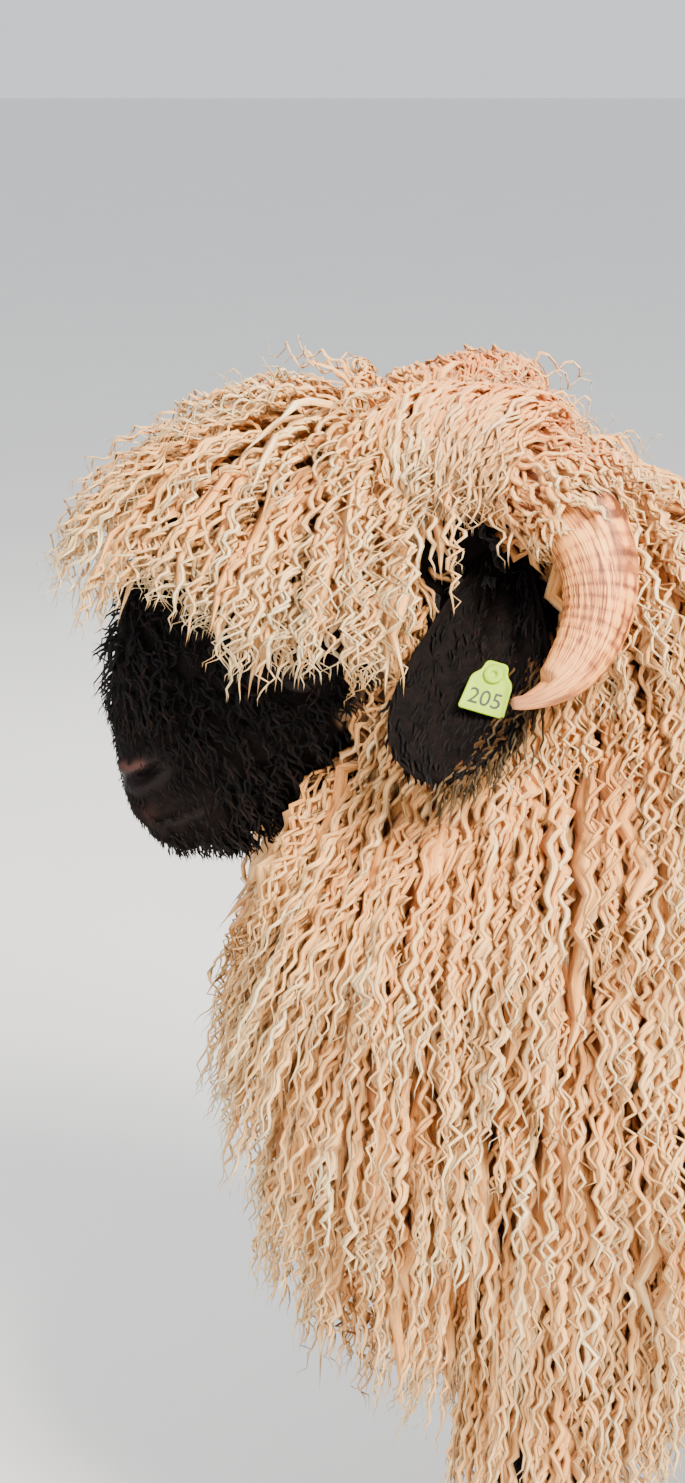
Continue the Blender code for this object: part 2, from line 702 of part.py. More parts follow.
def ear(name, side, horn_name):
    frame = ear_frame(side)
    points = [
        ear_point(frame, -0.06 + 1.06 * row / (EAR_ROWS - 1), 2 * column / (EAR_COLUMNS - 1) - 1)
        for row in range(EAR_ROWS)
        for column in range(EAR_COLUMNS)
    ]
    faces = []
    for start in range(0, (EAR_ROWS - 1) * EAR_COLUMNS, EAR_COLUMNS):
        for a in range(start, start + EAR_COLUMNS - 1):
            faces.append((a, a + 1, a + 1 + EAR_COLUMNS, a + EAR_COLUMNS))
    mesh = bpy.data.meshes.new(name)
    mesh.from_pydata([tuple(p) for p in points], [], faces)
    obj = bpy.data.objects.new(name, mesh)
    bpy.context.scene.collection.objects.link(obj)
    solidify = obj.modifiers.new("Solidify", "SOLIDIFY")
    solidify.thickness = EAR_THICKNESS
    solidify.offset = 0.0
    apply_modifiers(obj)
    face_out(obj)
    remember(name, obj)
    return keep_largest(cut_clear(obj, ["head", horn_name], GAP))


def bare_space(name, side):
    """The space in front of the ear's hollow side, where no wool of the neck or torso grows."""
    middle = EAR_ROOT.lerp(EAR_TIP, 0.45) + EAR_LOOKS.normalized() * BARE_DEPTH * 0.8
    centre = Vector((middle.x, side * middle.y, middle.z))
    tilt = math.atan2(EAR_TIP.y - EAR_ROOT.y, EAR_ROOT.z - EAR_TIP.z)
    sizes = Vector((EAR_HALF_WIDTH * 0.92, BARE_DEPTH, BARE_HALF_HEIGHT))
    room = ball(name, centre, sizes, Matrix.Rotation(side * tilt, 3, "X"))
    remember(name, room)
    bpy.data.objects.remove(room)


def tag_frame():
    """The spot where the tag's pin meets the ear, and the plate's directions: right, up and outwards."""
    frame = ear_frame(-1)
    spot = ear_point(frame, TAG_ALONG_EAR, TAG_ACROSS_EAR)
    out = (frame[4] + Vector((0.0, -0.3, 0.0))).normalized()
    up = Vector((0, 0, 1)) - out * out.z
    up.normalize()
    up = Matrix.Rotation(TAG_TURN, 3, out) @ up
    return spot, up.cross(out).normalized(), up, out


def pierce(ear_part):
    """The hole that the tag's pin goes through."""
    spot, _, _, out = tag_frame()
    through_ear = rod("pin_room", spot - out * 0.03, spot + out * 0.03, PIN_HOLE_RADIUS)
    return keep_largest(boolean(ear_part, [through_ear], "DIFFERENCE"))


def rod(name, start, end, radius, sides=12):
    """A plain round rod."""
    bm = bmesh.new()
    length = (end - start).length
    bmesh.ops.create_cone(bm, cap_ends=True, segments=sides, radius1=radius, radius2=radius, depth=length)
    turn = Vector((0, 0, 1)).rotation_difference(end - start).to_matrix().to_4x4()
    bmesh.ops.transform(bm, matrix=Matrix.Translation((start + end) / 2) @ turn, verts=bm.verts)
    mesh = bpy.data.meshes.new(name)
    bm.to_mesh(mesh)
    bm.free()
    obj = bpy.data.objects.new(name, mesh)
    bpy.context.scene.collection.objects.link(obj)
    return obj


def tag_plate():
    """The front plate: a rounded plate with a narrow neck, which the pin passes through."""
    spot, right, up, out = tag_frame()
    half, neck, top, low = TAG_WIDTH / 2, TAG_NECK_WIDTH / 2, TAG_NECK_HEIGHT, -TAG_HEIGHT
    corner = 0.004
    right_side = [
        (neck - 0.003, top * 0.62),
        (neck, top * 0.30),
        (half - corner, -top * 0.45),
        (half, -top * 0.45 - corner),
        (half, low + corner),
        (half - corner, low),
    ]
    outline = right_side + [(-x, y) for x, y in reversed(right_side)]
    count = len(outline)
    points = []
    for level in (TAG_STAND_OFF, TAG_STAND_OFF + TAG_THICKNESS):
        points += [spot + right * x + up * y + out * level for x, y in outline]
    faces = [(k, (k + 1) % count, count + (k + 1) % count, count + k) for k in range(count)]
    faces += [tuple(range(count)), tuple(range(2 * count - 1, count - 1, -1))]
    plate = add_mesh("ear_tag_plate", points, faces)
    remember(plate.name, plate)
    hole = rod("pin_hole", spot, spot + out * 0.03, PIN_RADIUS + GAP)
    return boolean(plate, [hole], "DIFFERENCE")


def tag_stud():
    """The stud: a button behind the ear and a pin that goes through the ear and the plate."""
    spot, _, _, out = tag_frame()
    back = spot - out * BUTTON_STAND_OFF
    button = rod("ear_tag_stud", back - out * BUTTON_THICKNESS, back, BUTTON_RADIUS, sides=16)
    pin_end = spot + out * (TAG_STAND_OFF + TAG_THICKNESS + 0.0006)
    pin = rod("pin", back - out * BUTTON_THICKNESS * 0.5, pin_end, PIN_RADIUS)
    remember(button.name, button, pin)
    return boolean(button, [pin], "UNION")


def claw(name, x_front, centre_y, side):
    """One toe's hoof: flat below, falling and narrowing to the toe."""
    bm = bmesh.new()
    bmesh.ops.create_cube(bm, size=1.0)
    for vertex in bm.verts:
        forward = vertex.co.x < 0
        upper = vertex.co.z > 0
        width = CLAW_WIDTH * (CLAW_TOE_PINCH if forward and not upper else 0.60 if forward else 1.0)
        width *= 0.92 if upper else 1.0
        x = x_front + (0 if forward else CLAW_LENGTH)
        if upper:
            x += 0.010 if forward else -0.004
        z = 0.0 if not upper else CLAW_HEIGHT
        inner = centre_y - side * CLAW_WIDTH / 2
        y = inner + side * (vertex.co.y * side + 0.5) * width
        vertex.co = Vector((x, y, z))
    bmesh.ops.recalc_face_normals(bm, faces=bm.faces)
    edges = [e for e in bm.edges if max(v.co.z for v in e.verts) > 0.001]
    bmesh.ops.bevel(bm, geom=edges, offset=0.005, segments=1, affect="EDGES")
    mesh = bpy.data.meshes.new(name)
    bm.to_mesh(mesh)
    bm.free()
    obj = bpy.data.objects.new(name, mesh)
    bpy.context.scene.collection.objects.link(obj)
    face_out(obj)
    return obj


def leg(name, rows, spread, seed):
    """A woolly leg, cut clear of the torso. It stops just above its claws."""
    stations = [(front, z, back, z, half) for z, front, back, half in rows]
    core = swell_sides(Profile(stations, side=spread).build(name, 9, 8, flat_end=True), LEG_WOOL)
    remember(name, core)
    comb = Comb(name, seed)
    for root, normal in comb.roots(LEG_SPACING, lambda place, out: LEG_WOOL_LOW < place.z < LEG_WOOL_HIGH):
        taper = 0.75 + 0.8 * (root.z - LEG_WOOL_LOW)
        size = [side * taper * comb.vary(0.12) for side in LEG_LOCK]
        comb.add(root, DOWN + normal * 0.1, size, lift=0.5, reach=0.012, wave=0.06)
    comb.fuse(core, [])
    return keep_largest(cut_clear(core, ["torso"], GAP))


def swell_sides(obj, depth):
    """Swells a leg sideways only, so that its flat lower end stays at its height."""
    low = min(v.co.z for v in obj.data.vertices)
    bm = bmesh.new()
    bm.from_mesh(obj.data)
    bm.normal_update()
    shifts = [Vector((v.normal.x, v.normal.y, 0)) * depth for v in bm.verts]
    for vertex, shift in zip(bm.verts, shifts):
        fade = min(1.0, (vertex.co.z - low) / 0.08)
        vertex.co += shift * fade
    bm.to_mesh(obj.data)
    bm.free()
    return obj


def tail():
    """The tail hangs behind the rump to below the hocks, with locks all round it."""
    rows = [(front, z - 0.008, back, z + 0.008, half) for front, back, z, half in TAIL]
    core = swell(Profile(rows).build("tail", 9, 10), TAIL_WOOL)
    remember("tail", core)
    comb = Comb("tail", TAIL_SEED)
    for root, normal in comb.roots(TAIL_SPACING, lambda place, out: place.z < 0.70):
        size = [side * comb.vary(0.12) for side in TAIL_LOCK]
        comb.add(root, DOWN + normal * 0.5, size, lift=0.5, reach=0.016)
    comb.fuse(core, [])
    return keep_largest(cut_clear(core, ["torso"], GAP))


def ridge_locks(comb, places, lock):
    """A row of locks along the top, leaning back and to the left and right in turn."""
    for k, x in enumerate(places):
        side = -1 if k % 2 else 1
        size = [part * comb.vary(0.10) for part in lock]
        comb.add(Vector((x, side * 0.02, 1.0)), Vector((0.8, side * 0.6, 0)), size, lift=1.0, reach=0.036)


def torso_wool(core, clear_of):
    """Locks that part along the back and hang down the sides, over the breast, the rump and the belly."""
    comb = Comb("torso", TORSO_SEED)

    def grows(place, out):
        return not (place.x < 0.20 and place.z > 0.66) and not (out.z < -0.5 and abs(place.y) < 0.06)

    for root, normal in comb.roots(TORSO_SPACING, grows):
        sideways = Vector((0, math.copysign(1, root.y), 0))
        lie = DOWN + sideways * max(0.0, normal.z) * 1.3
        under = normal.z < -0.35
        size = [side * comb.vary(0.12) for side in (BELLY_LOCK if under else TORSO_LOCK)]
        comb.add(root, lie, size, lift=0.35 if under else 0.75, reach=0.038)
    ridge_locks(comb, SPINE_ROOTS, SPINE_LOCK)
    return comb.fuse(core, clear_of)


def behind_ear(place):
    """Whether a place on the neck is hidden behind an ear or inside a horn's turn."""
    return place.x < EAR_ROOT.x + 0.04 and place.z > EAR_TIP.z and abs(place.y) > 0.04


def neck_wool(core, clear_of):
    """Locks that hang down round the neck and over the breast, behind the face."""
    comb = Comb("neck", NECK_SEED)
    bib = comb.roots(BIB_SPACING, lambda place, out: place.x < BIB_BACK and place.z < BIB_TOP)
    rest = comb.roots(NECK_SPACING, lambda place, out: place.x > BIB_BACK and not behind_ear(place))
    for root, normal in (*bib, *rest):
        sideways = Vector((0, math.copysign(1, root.y), 0))
        lie = DOWN + sideways * max(0.0, normal.z) * 1.3
        size = [side * comb.vary(0.12) for side in NECK_LOCK]
        comb.add(root, lie, size, lift=0.75, reach=0.042)
    ridge_locks(comb, CREST_ROOTS, CREST_LOCK)
    return comb.fuse(core, clear_of)


def over_horn(share, side):
    """The line of a lock from the crown over the horn, at this share of the horn, and the way out from it."""
    centre = horn_line(share, side)
    along, across, deep = horn_frame(share, side)
    outward = deep if deep.y * side > 0 else -deep
    angles = np.linspace(*HORN_COVER_SWEEP, 9)
    turns = [across * math.cos(angle) + outward * math.sin(angle) for angle in angles]
    root = Vector((centre.x, side * HORN_COVER_ROOT_SIDE, HORN_COVER_ROOT_HEIGHT))
    points = [root] + [centre + turn * HORN_COVER_OFF for turn in turns]
    return points, [turns[0]] + turns


def forelock(core, clear_of, obstacles):
    """The mop of the crown: locks that rise and fall outwards all round, longest over the brow."""
    comb = Comb("head", FORELOCK_SEED, obstacles)
    middle = Vector(MOP_MIDDLE)

    def grows(place, out):
        away = place - middle
        return (away.x / MOP_LENGTH) ** 2 + (away.y / MOP_WIDTH) ** 2 < 1 and place.z > MOP_LOW

    for root, normal in comb.roots(FORELOCK_SPACING, grows):
        away = root - middle
        lie = Vector((away.x * 1.25, away.y * 1.6, 0)).normalized()
        full = 0.66 + 0.22 * max(0.0, -lie.x)
        if root.x > MOP_MIDDLE[0]:
            full = 0.50
        size = [side * comb.vary(0.10) * full for side in FORELOCK_LOCK]
        comb.add(root, lie, size, LONG_LOCK, lift=0.9, reach=0.030, weight=15.0)
    for share in HORN_COVER:
        for word, side in SIDES:
            points, outs = over_horn(share, side)
            comb.lay(points, outs, HORN_COVER_WIDTH, HORN_COVER_THICKNESS, LONG_LOCK)
    return comb.fuse(core, clear_of)


def eye(name, side):
    centre = Vector((EYE_X, side * EYE_SIDE, EYE_Z))
    obj = ball(name, centre, Vector([EYE_RADIUS] * 3))
    remember(name, obj)
    return obj


def dress(obj, finish):
    """Gives a finished node its material and hangs it from the empty that centres the animal."""
    obj.data.materials.clear()
    obj.data.materials.append(finish_of(finish))
    smooth(obj)
    obj.parent = bpy.data.objects["sheep"]
    part_group = bpy.data.collections["valais_blacknose_sheep"]
    bpy.context.scene.collection.objects.unlink(obj)
    part_group.objects.link(obj)


def main():
    clear_scene()
    group = bpy.data.collections.new("valais_blacknose_sheep")
    bpy.context.scene.collection.children.link(group)
    sheep = bpy.data.objects.new("sheep", None)
    sheep.location = (-BREAST_TO_MIDDLE, 0, 0)
    group.objects.link(sheep)

    torso = torso_core()
    head = head_core()
    keep_largest(cut_clear(torso, ["head"], GAP))

    legs, claws = [], []
    for place, rows, spread in (("front", FRONT_LEG, FRONT_LEG_SPREAD), ("hind", HIND_LEG, HIND_LEG_SPREAD)):
        for word, side in SIDES:
            legs.append(leg(f"leg_{place}_{word}", rows, side * spread, LEG_SEED + len(legs)))
            toe = rows[-1][1] - CLAW_AHEAD
            for part, inner in (("inner", -side), ("outer", side)):
                middle = side * spread + inner * (CLAW_WIDTH + CLAW_SPLIT) / 2
                claws.append(claw(f"claw_{place}_{word}_{part}", toe, middle, inner))
    tail_part = tail()

    horns = [horn(f"horn_{word}", side) for word, side in SIDES]
    ears = [ear(f"ear_{word}", side, f"horn_{word}") for word, side in SIDES]
    pierce(ears[0])
    for word, side in SIDES:
        bare_space(f"bare_{word}", side)
    tags = [tag_plate(), tag_stud()]
    eyes = [eye(f"eye_{word}", side) for word, side in SIDES]

    near_head = [obj.name for obj in (*horns, *ears, *tags, *eyes)]
    bare = [f"bare_{word}" for word, side in SIDES]
    neck = neck_core(["torso", "head", *near_head, *bare])
    torso_wool(torso, [*(obj.name for obj in legs), "tail", "neck", "head", *near_head, *bare])
    neck_wool(neck, ["torso", "head", *near_head, *bare])
    forelock(head, ["neck", "torso", *near_head], [obj.name for obj in horns])

    finishes = (
        (FLEECE, (torso, neck, tail_part, *legs)),
        (BLACK_WOOL, (head, *ears)),
        (HORN, horns),
        (HOOF, claws),
        (EYE, eyes),
        (TAG, tags),
    )
    for finish, objects in finishes:
        for obj in objects:
            dress(obj, finish)


main()
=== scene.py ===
"""A Valais Blacknose sheep in full fleece: one skin under a coat of wavy locks, with horns, eyes, tag and claws.

Every shape is worked out in the sheep's own frame, where x runs back from the front of the breast, y to the
sheep's right and z up from the floor. A piece is moved to the row frame when its mesh is made.
"""

import math

import bmesh
import bpy
import numpy as np
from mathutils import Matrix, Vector
from mathutils.bvhtree import BVHTree
from mathutils.kdtree import KDTree


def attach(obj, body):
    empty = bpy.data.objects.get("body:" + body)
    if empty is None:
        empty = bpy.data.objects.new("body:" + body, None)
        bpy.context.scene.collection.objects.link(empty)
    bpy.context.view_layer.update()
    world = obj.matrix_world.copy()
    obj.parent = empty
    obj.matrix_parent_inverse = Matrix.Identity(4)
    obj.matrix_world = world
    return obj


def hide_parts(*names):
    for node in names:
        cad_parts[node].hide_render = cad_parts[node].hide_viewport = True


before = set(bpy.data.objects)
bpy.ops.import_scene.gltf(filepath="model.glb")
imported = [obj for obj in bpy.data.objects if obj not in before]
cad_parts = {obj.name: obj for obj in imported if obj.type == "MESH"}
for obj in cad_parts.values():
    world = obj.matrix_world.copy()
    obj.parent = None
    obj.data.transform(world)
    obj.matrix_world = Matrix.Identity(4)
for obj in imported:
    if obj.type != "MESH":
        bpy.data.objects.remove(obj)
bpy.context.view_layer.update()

BREAST_TO_MIDDLE = 0.418
GAP = 0.0004
SIDES = (("left", -1), ("right", 1))
DOWN = np.array([0.0, 0.0, -1.0])
ACROSS = np.array([0.0, 1.0, 0.0])
draw = np.random.default_rng(7)

# The coat: most triangles of a piece, side of a tuft's patch in the unwrap, share of the sampled roots that is kept,
# where the horn is bare from, the heights where the legs' long locks end and the mop's top is, and the middle of
# the muzzle.
MOST_TRIANGLES = 190000
UV_PATCH = 0.003
ROOTS_KEPT = 0.45
HORN_BARE_FROM = 0.46
THIGH_END, MOP_TOP = 0.335, 0.961
MUZZLE = [-0.130, 0.010, 0.680]

# The camera, with its focal length in pixels of the photo, and the studio.
FOCAL_PIXELS, PHOTO_HEIGHT, SENSOR = 2300, 1483, 36
CAMERA_AWAY, CAMERA_HEIGHT, CAMERA_PITCH = 1.39, 1.14, 17.2
FLOOR_REACH = 40
WORLD_COLOUR, WORLD_STRENGTH = (0.90, 0.93, 0.97, 1.0), 1.08

# Body stations: upper x and z, lower x and z, half width.
TORSO = [
    (0.008, 0.590, 0.008, 0.530, 0.030),
    (0.022, 0.650, 0.022, 0.462, 0.080),
    (0.080, 0.735, 0.080, 0.412, 0.120),
    (0.200, 0.785, 0.200, 0.402, 0.142),
    (0.360, 0.772, 0.360, 0.402, 0.155),
    (0.520, 0.765, 0.520, 0.400, 0.165),
    (0.660, 0.768, 0.660, 0.418, 0.162),
    (0.780, 0.770, 0.780, 0.452, 0.148),
    (0.858, 0.748, 0.858, 0.520, 0.114),
    (0.892, 0.705, 0.892, 0.600, 0.052),
]
NECK = [
    (0.262, 0.745, 0.040, 0.520, 0.092),
    (0.216, 0.808, 0.006, 0.590, 0.098),
    (0.166, 0.845, 0.006, 0.662, 0.088),
    (0.122, 0.870, 0.022, 0.728, 0.076),
    (0.076, 0.882, 0.034, 0.790, 0.056),
]
HEAD = [
    (0.108, 0.866, 0.114, 0.842, 0.018),
    (0.090, 0.895, 0.104, 0.800, 0.052),
    (0.040, 0.909, 0.072, 0.758, 0.062),
    (-0.025, 0.903, 0.036, 0.724, 0.064),
    (-0.080, 0.878, 0.004, 0.702, 0.063),
    (-0.118, 0.838, -0.018, 0.682, 0.053),
    (-0.138, 0.790, -0.038, 0.665, 0.044),
    (-0.1445, 0.746, -0.053, 0.654, 0.039),
    (-0.1435, 0.714, -0.068, 0.646, 0.038),
    (-0.1400, 0.692, -0.086, 0.643, 0.036),
    (-0.1320, 0.672, -0.106, 0.646, 0.027),
    (-0.1250, 0.662, -0.116, 0.653, 0.011),
]
FRONT_LEG = [
    (0.080, 0.500, 0.230, 0.500, 0.050),
    (0.098, 0.400, 0.190, 0.400, 0.036),
    (0.108, 0.300, 0.162, 0.300, 0.025),
    (0.104, 0.255, 0.162, 0.255, 0.027),
    (0.112, 0.210, 0.156, 0.210, 0.021),
    (0.114, 0.120, 0.152, 0.120, 0.018),
    (0.108, 0.085, 0.160, 0.085, 0.023),
    (0.102, 0.0403, 0.152, 0.0403, 0.025),
]
HIND_LEG = [
    (0.660, 0.540, 0.850, 0.540, 0.060),
    (0.690, 0.430, 0.848, 0.430, 0.044),
    (0.752, 0.340, 0.848, 0.340, 0.030),
    (0.790, 0.275, 0.862, 0.275, 0.026),
    (0.800, 0.235, 0.856, 0.235, 0.023),
    (0.798, 0.130, 0.838, 0.130, 0.019),
    (0.790, 0.088, 0.842, 0.088, 0.024),
    (0.782, 0.0403, 0.834, 0.0403, 0.026),
]
TAIL = [
    (0.850, 0.727, 0.905, 0.743, 0.026),
    (0.888, 0.682, 0.932, 0.698, 0.027),
    (0.908, 0.592, 0.946, 0.608, 0.024),
    (0.914, 0.472, 0.946, 0.488, 0.020),
    (0.916, 0.372, 0.940, 0.388, 0.013),
    (0.920, 0.332, 0.934, 0.348, 0.006),
]
LEG_SPREAD = {"front": 0.098, "hind": 0.104}

EYE = np.array([-0.0235, 0.0535, 0.775])
EYE_RADIUS = 0.0155
HORN_AXIS = np.array([0.085, 0.838])
HORN_START, HORN_TURN = math.radians(152), math.radians(236)
HORN_SPIRAL, HORN_OUT = (0.070, 0.050), (0.026, 0.186)
HORN_RADIUS = 0.0265
EAR_ROOT, EAR_TIP = np.array([0.102, 0.052, 0.842]), np.array([0.066, 0.158, 0.732])
EAR_HALF_WIDTH, EAR_THICKNESS = 0.044, 0.0045
EAR_ROLL = (math.radians(118), math.radians(22))
EAR_LOOKS = np.array([-0.30, 1.0, 0.10])
TAG_ALONG, TAG_ACROSS, TAG_OFF, TAG_THICKNESS = 0.56, -0.22, 0.0110, 0.0018
TAG_TURN = math.radians(-14)


def unit(v):
    return v / np.maximum(np.linalg.norm(v, axis=-1, keepdims=True), 1e-9)


def dot(a, b):
    return (a * b).sum(-1, keepdims=True)


def smoothstep(low, high, x):
    t = np.clip((np.asarray(x, float) - low) / (high - low), 0, 1)
    return t * t * (3 - 2 * t)


def through(stations, at):
    """Smooth curves through the stations, whose first column is the place: cubics whose slopes at a station
    are the mean of those beside it."""
    table = np.asarray(stations, float)
    place, values = table[:, 0], table[:, 1:]
    slopes = np.gradient(values, place, axis=0)
    i = np.clip(np.searchsorted(place, at) - 1, 0, len(place) - 2)
    step = (place[i + 1] - place[i])[:, None]
    t = (np.asarray(at) - place[i])[:, None] / step
    rise = (2 * t**3 - 3 * t**2 + 1) * values[i] + (3 * t**2 - 2 * t**3) * values[i + 1]
    return rise + step * ((t**3 - 2 * t**2 + t) * slopes[i] + (t**3 - t**2) * slopes[i + 1])


def folded(p):
    """The points with both sides laid on one: y without its sign."""
    return np.column_stack([p[:, 0], np.abs(p[:, 1]), p[:, 2]])


class Loft:
    """A tapering body part: at each share of its length the cut is an ellipse between an upper and a lower
    profile point, with a half width. Its unwrap is (share, angle) in a tile of the unit square."""

    def __init__(self, rows, side=0.0, tile=(0, 0, 1, 1)):
        rows = np.asarray(rows, float)
        middle = (rows[:, 0:2] + rows[:, 2:4]) / 2
        run = np.concatenate([[0], np.cumsum(np.linalg.norm(np.diff(middle, axis=0), axis=1))])
        self.stations = np.column_stack([run / run[-1], rows])
        self.side, self.tile = side, tile

    def at(self, share, angle):
        """Points centre + up * cos(angle) + width * sin(angle), for arrays of equal length."""
        v = through(self.stations, share)
        upper, lower, half = v[:, 0:2], v[:, 2:4], v[:, 4]
        centre, up = (upper + lower) / 2, (upper - lower) / 2
        x = centre[:, 0] + up[:, 0] * np.cos(angle)
        z = centre[:, 1] + up[:, 1] * np.cos(angle)
        return np.column_stack([x, self.side + half * np.sin(angle), z])

    def grid(self, rings, sides):
        share = np.linspace(0, 1, rings)
        angle = np.arange(sides) * 2 * math.pi / sides
        s, a = np.meshgrid(share, angle, indexing="ij")
        return self.at(s.ravel(), a.ravel()).reshape(rings, sides, 3)

    def unwrap(self, share, angle):
        u0, v0, u1, v1 = self.tile
        return np.column_stack([u0 + (u1 - u0) * share, v0 + (v1 - v0) * (angle / (2 * math.pi) % 1)])


def grid_faces(rings, sides, start=0, wrap=True):
    """Quads of a grid of rings, joined round when wrap is set."""
    r, k = np.meshgrid(np.arange(rings - 1), np.arange(sides if wrap else sides - 1), indexing="ij")
    a, b = r * sides + k, r * sides + (k + 1) % sides
    return np.stack([a, b, b + sides, a + sides], axis=-1).reshape(-1, 4) + start


def mesh_object(name, points, quads=(), tris=(), shift=True):
    """An object from arrays of points, quads and triangles, moved to the row frame."""
    points = np.array(points, np.float32).reshape(-1, 3)
    if shift:
        points[:, 0] -= BREAST_TO_MIDDLE
    quads = np.asarray(quads, np.int32).reshape(-1, 4)
    tris = np.asarray(tris, np.int32).reshape(-1, 3)
    mesh = bpy.data.meshes.new(name)
    mesh.vertices.add(len(points))
    mesh.vertices.foreach_set("co", points.ravel())
    mesh.loops.add(quads.size + tris.size)
    mesh.loops.foreach_set("vertex_index", np.concatenate([quads.ravel(), tris.ravel()]))
    mesh.polygons.add(len(quads) + len(tris))
    starts = np.concatenate([np.arange(len(quads)) * 4, quads.size + np.arange(len(tris)) * 3])
    mesh.polygons.foreach_set("loop_start", starts.astype(np.int32))
    mesh.update(calc_edges=True)
    obj = bpy.data.objects.new(name, mesh)
    bpy.context.scene.collection.objects.link(obj)
    return obj


def closed_grid(name, points, shift=True):
    """A closed mesh from a grid of rings, each end closed by a fan to its middle, faces outwards."""
    rings, sides = points.shape[:2]
    ends = [points[0].mean(0), points[-1].mean(0)]
    flat = np.concatenate([points.reshape(-1, 3), ends])
    last = (rings - 1) * sides
    k = np.arange(sides)
    near = np.column_stack([(k + 1) % sides, k, np.full(sides, rings * sides)])
    far = np.column_stack([last + k, last + (k + 1) % sides, np.full(sides, rings * sides + 1)])
    obj = mesh_object(name, flat, grid_faces(rings, sides), np.concatenate([near, far]), shift)
    return face_out(obj)


def face_out(obj):
    bm = bmesh.new()
    bm.from_mesh(obj.data)
    bmesh.ops.remove_doubles(bm, verts=bm.verts, dist=1e-6)
    bmesh.ops.recalc_face_normals(bm, faces=bm.faces)
    bm.to_mesh(obj.data)
    bm.free()
    return obj


def boolean(obj, others, operation):
    """Joins the others to obj or cuts them out of it, and removes them."""
    group = bpy.data.collections.new("pieces")
    bpy.context.scene.collection.children.link(group)
    for other in others:
        bpy.context.scene.collection.objects.unlink(other)
        group.objects.link(other)
    modifier = obj.modifiers.new("Boolean", "BOOLEAN")
    modifier.operation, modifier.solver = operation, "MANIFOLD"
    modifier.operand_type, modifier.collection = "COLLECTION", group
    bpy.context.view_layer.update()
    made = bpy.data.meshes.new_from_object(obj.evaluated_get(bpy.context.evaluated_depsgraph_get()))
    obj.modifiers.clear()
    obj.data = made
    for other in others:
        bpy.data.objects.remove(other)
    bpy.data.collections.remove(group)
    return obj


def vertices_of(obj):
    """The object's points in the sheep's own frame."""
    points = np.empty(len(obj.data.vertices) * 3, np.float32)
    obj.data.vertices.foreach_get("co", points)
    return points.reshape(-1, 3).astype(float) + [BREAST_TO_MIDDLE, 0, 0]


def give(obj, name, values):
    """A number on each vertex, for the material."""
    attribute = obj.data.attributes.new(name, "FLOAT", "POINT")
    attribute.data.foreach_set("value", np.asarray(values, np.float32))


def finish_piece(obj, material, replaced=()):
    obj.data.materials.clear()
    obj.data.materials.append(material)
    obj.data.shade_smooth()
    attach(obj, "root")
    if replaced:
        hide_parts(*replaced)
    return obj


# Materials


class Value:
    """A shader socket with arithmetic: numbers and sockets mix freely."""

    def __init__(self, tree, socket):
        self.tree, self.socket = tree, socket

    def math(self, operation, other=None, swap=False):
        node = self.tree.nodes.new("ShaderNodeMath")
        node.operation = operation
        for k, part in enumerate([other, self] if swap else [self, other]):
            put(self.tree, part, node.inputs[k])
        return Value(self.tree, node.outputs[0])

    def __add__(self, other):
        return self.math("ADD", other)

    def __sub__(self, other):
        return self.math("SUBTRACT", other)

    def __rsub__(self, other):
        return self.math("SUBTRACT", other, swap=True)

    def __mul__(self, other):
        return self.math("MULTIPLY", other)

    __radd__, __rmul__ = __add__, __mul__

    def clamp(self, low, high):
        return self.math("MAXIMUM", low).math("MINIMUM", high)


def put(tree, part, socket):
    """Sets a socket to a number or colour, or links it."""
    if part is None:
        return
    if isinstance(part, Value):
        tree.links.new(part.socket, socket)
    else:
        colour = isinstance(part, tuple) and len(part) == 3 and socket.type == "RGBA"
        socket.default_value = (*part, 1.0) if colour else part


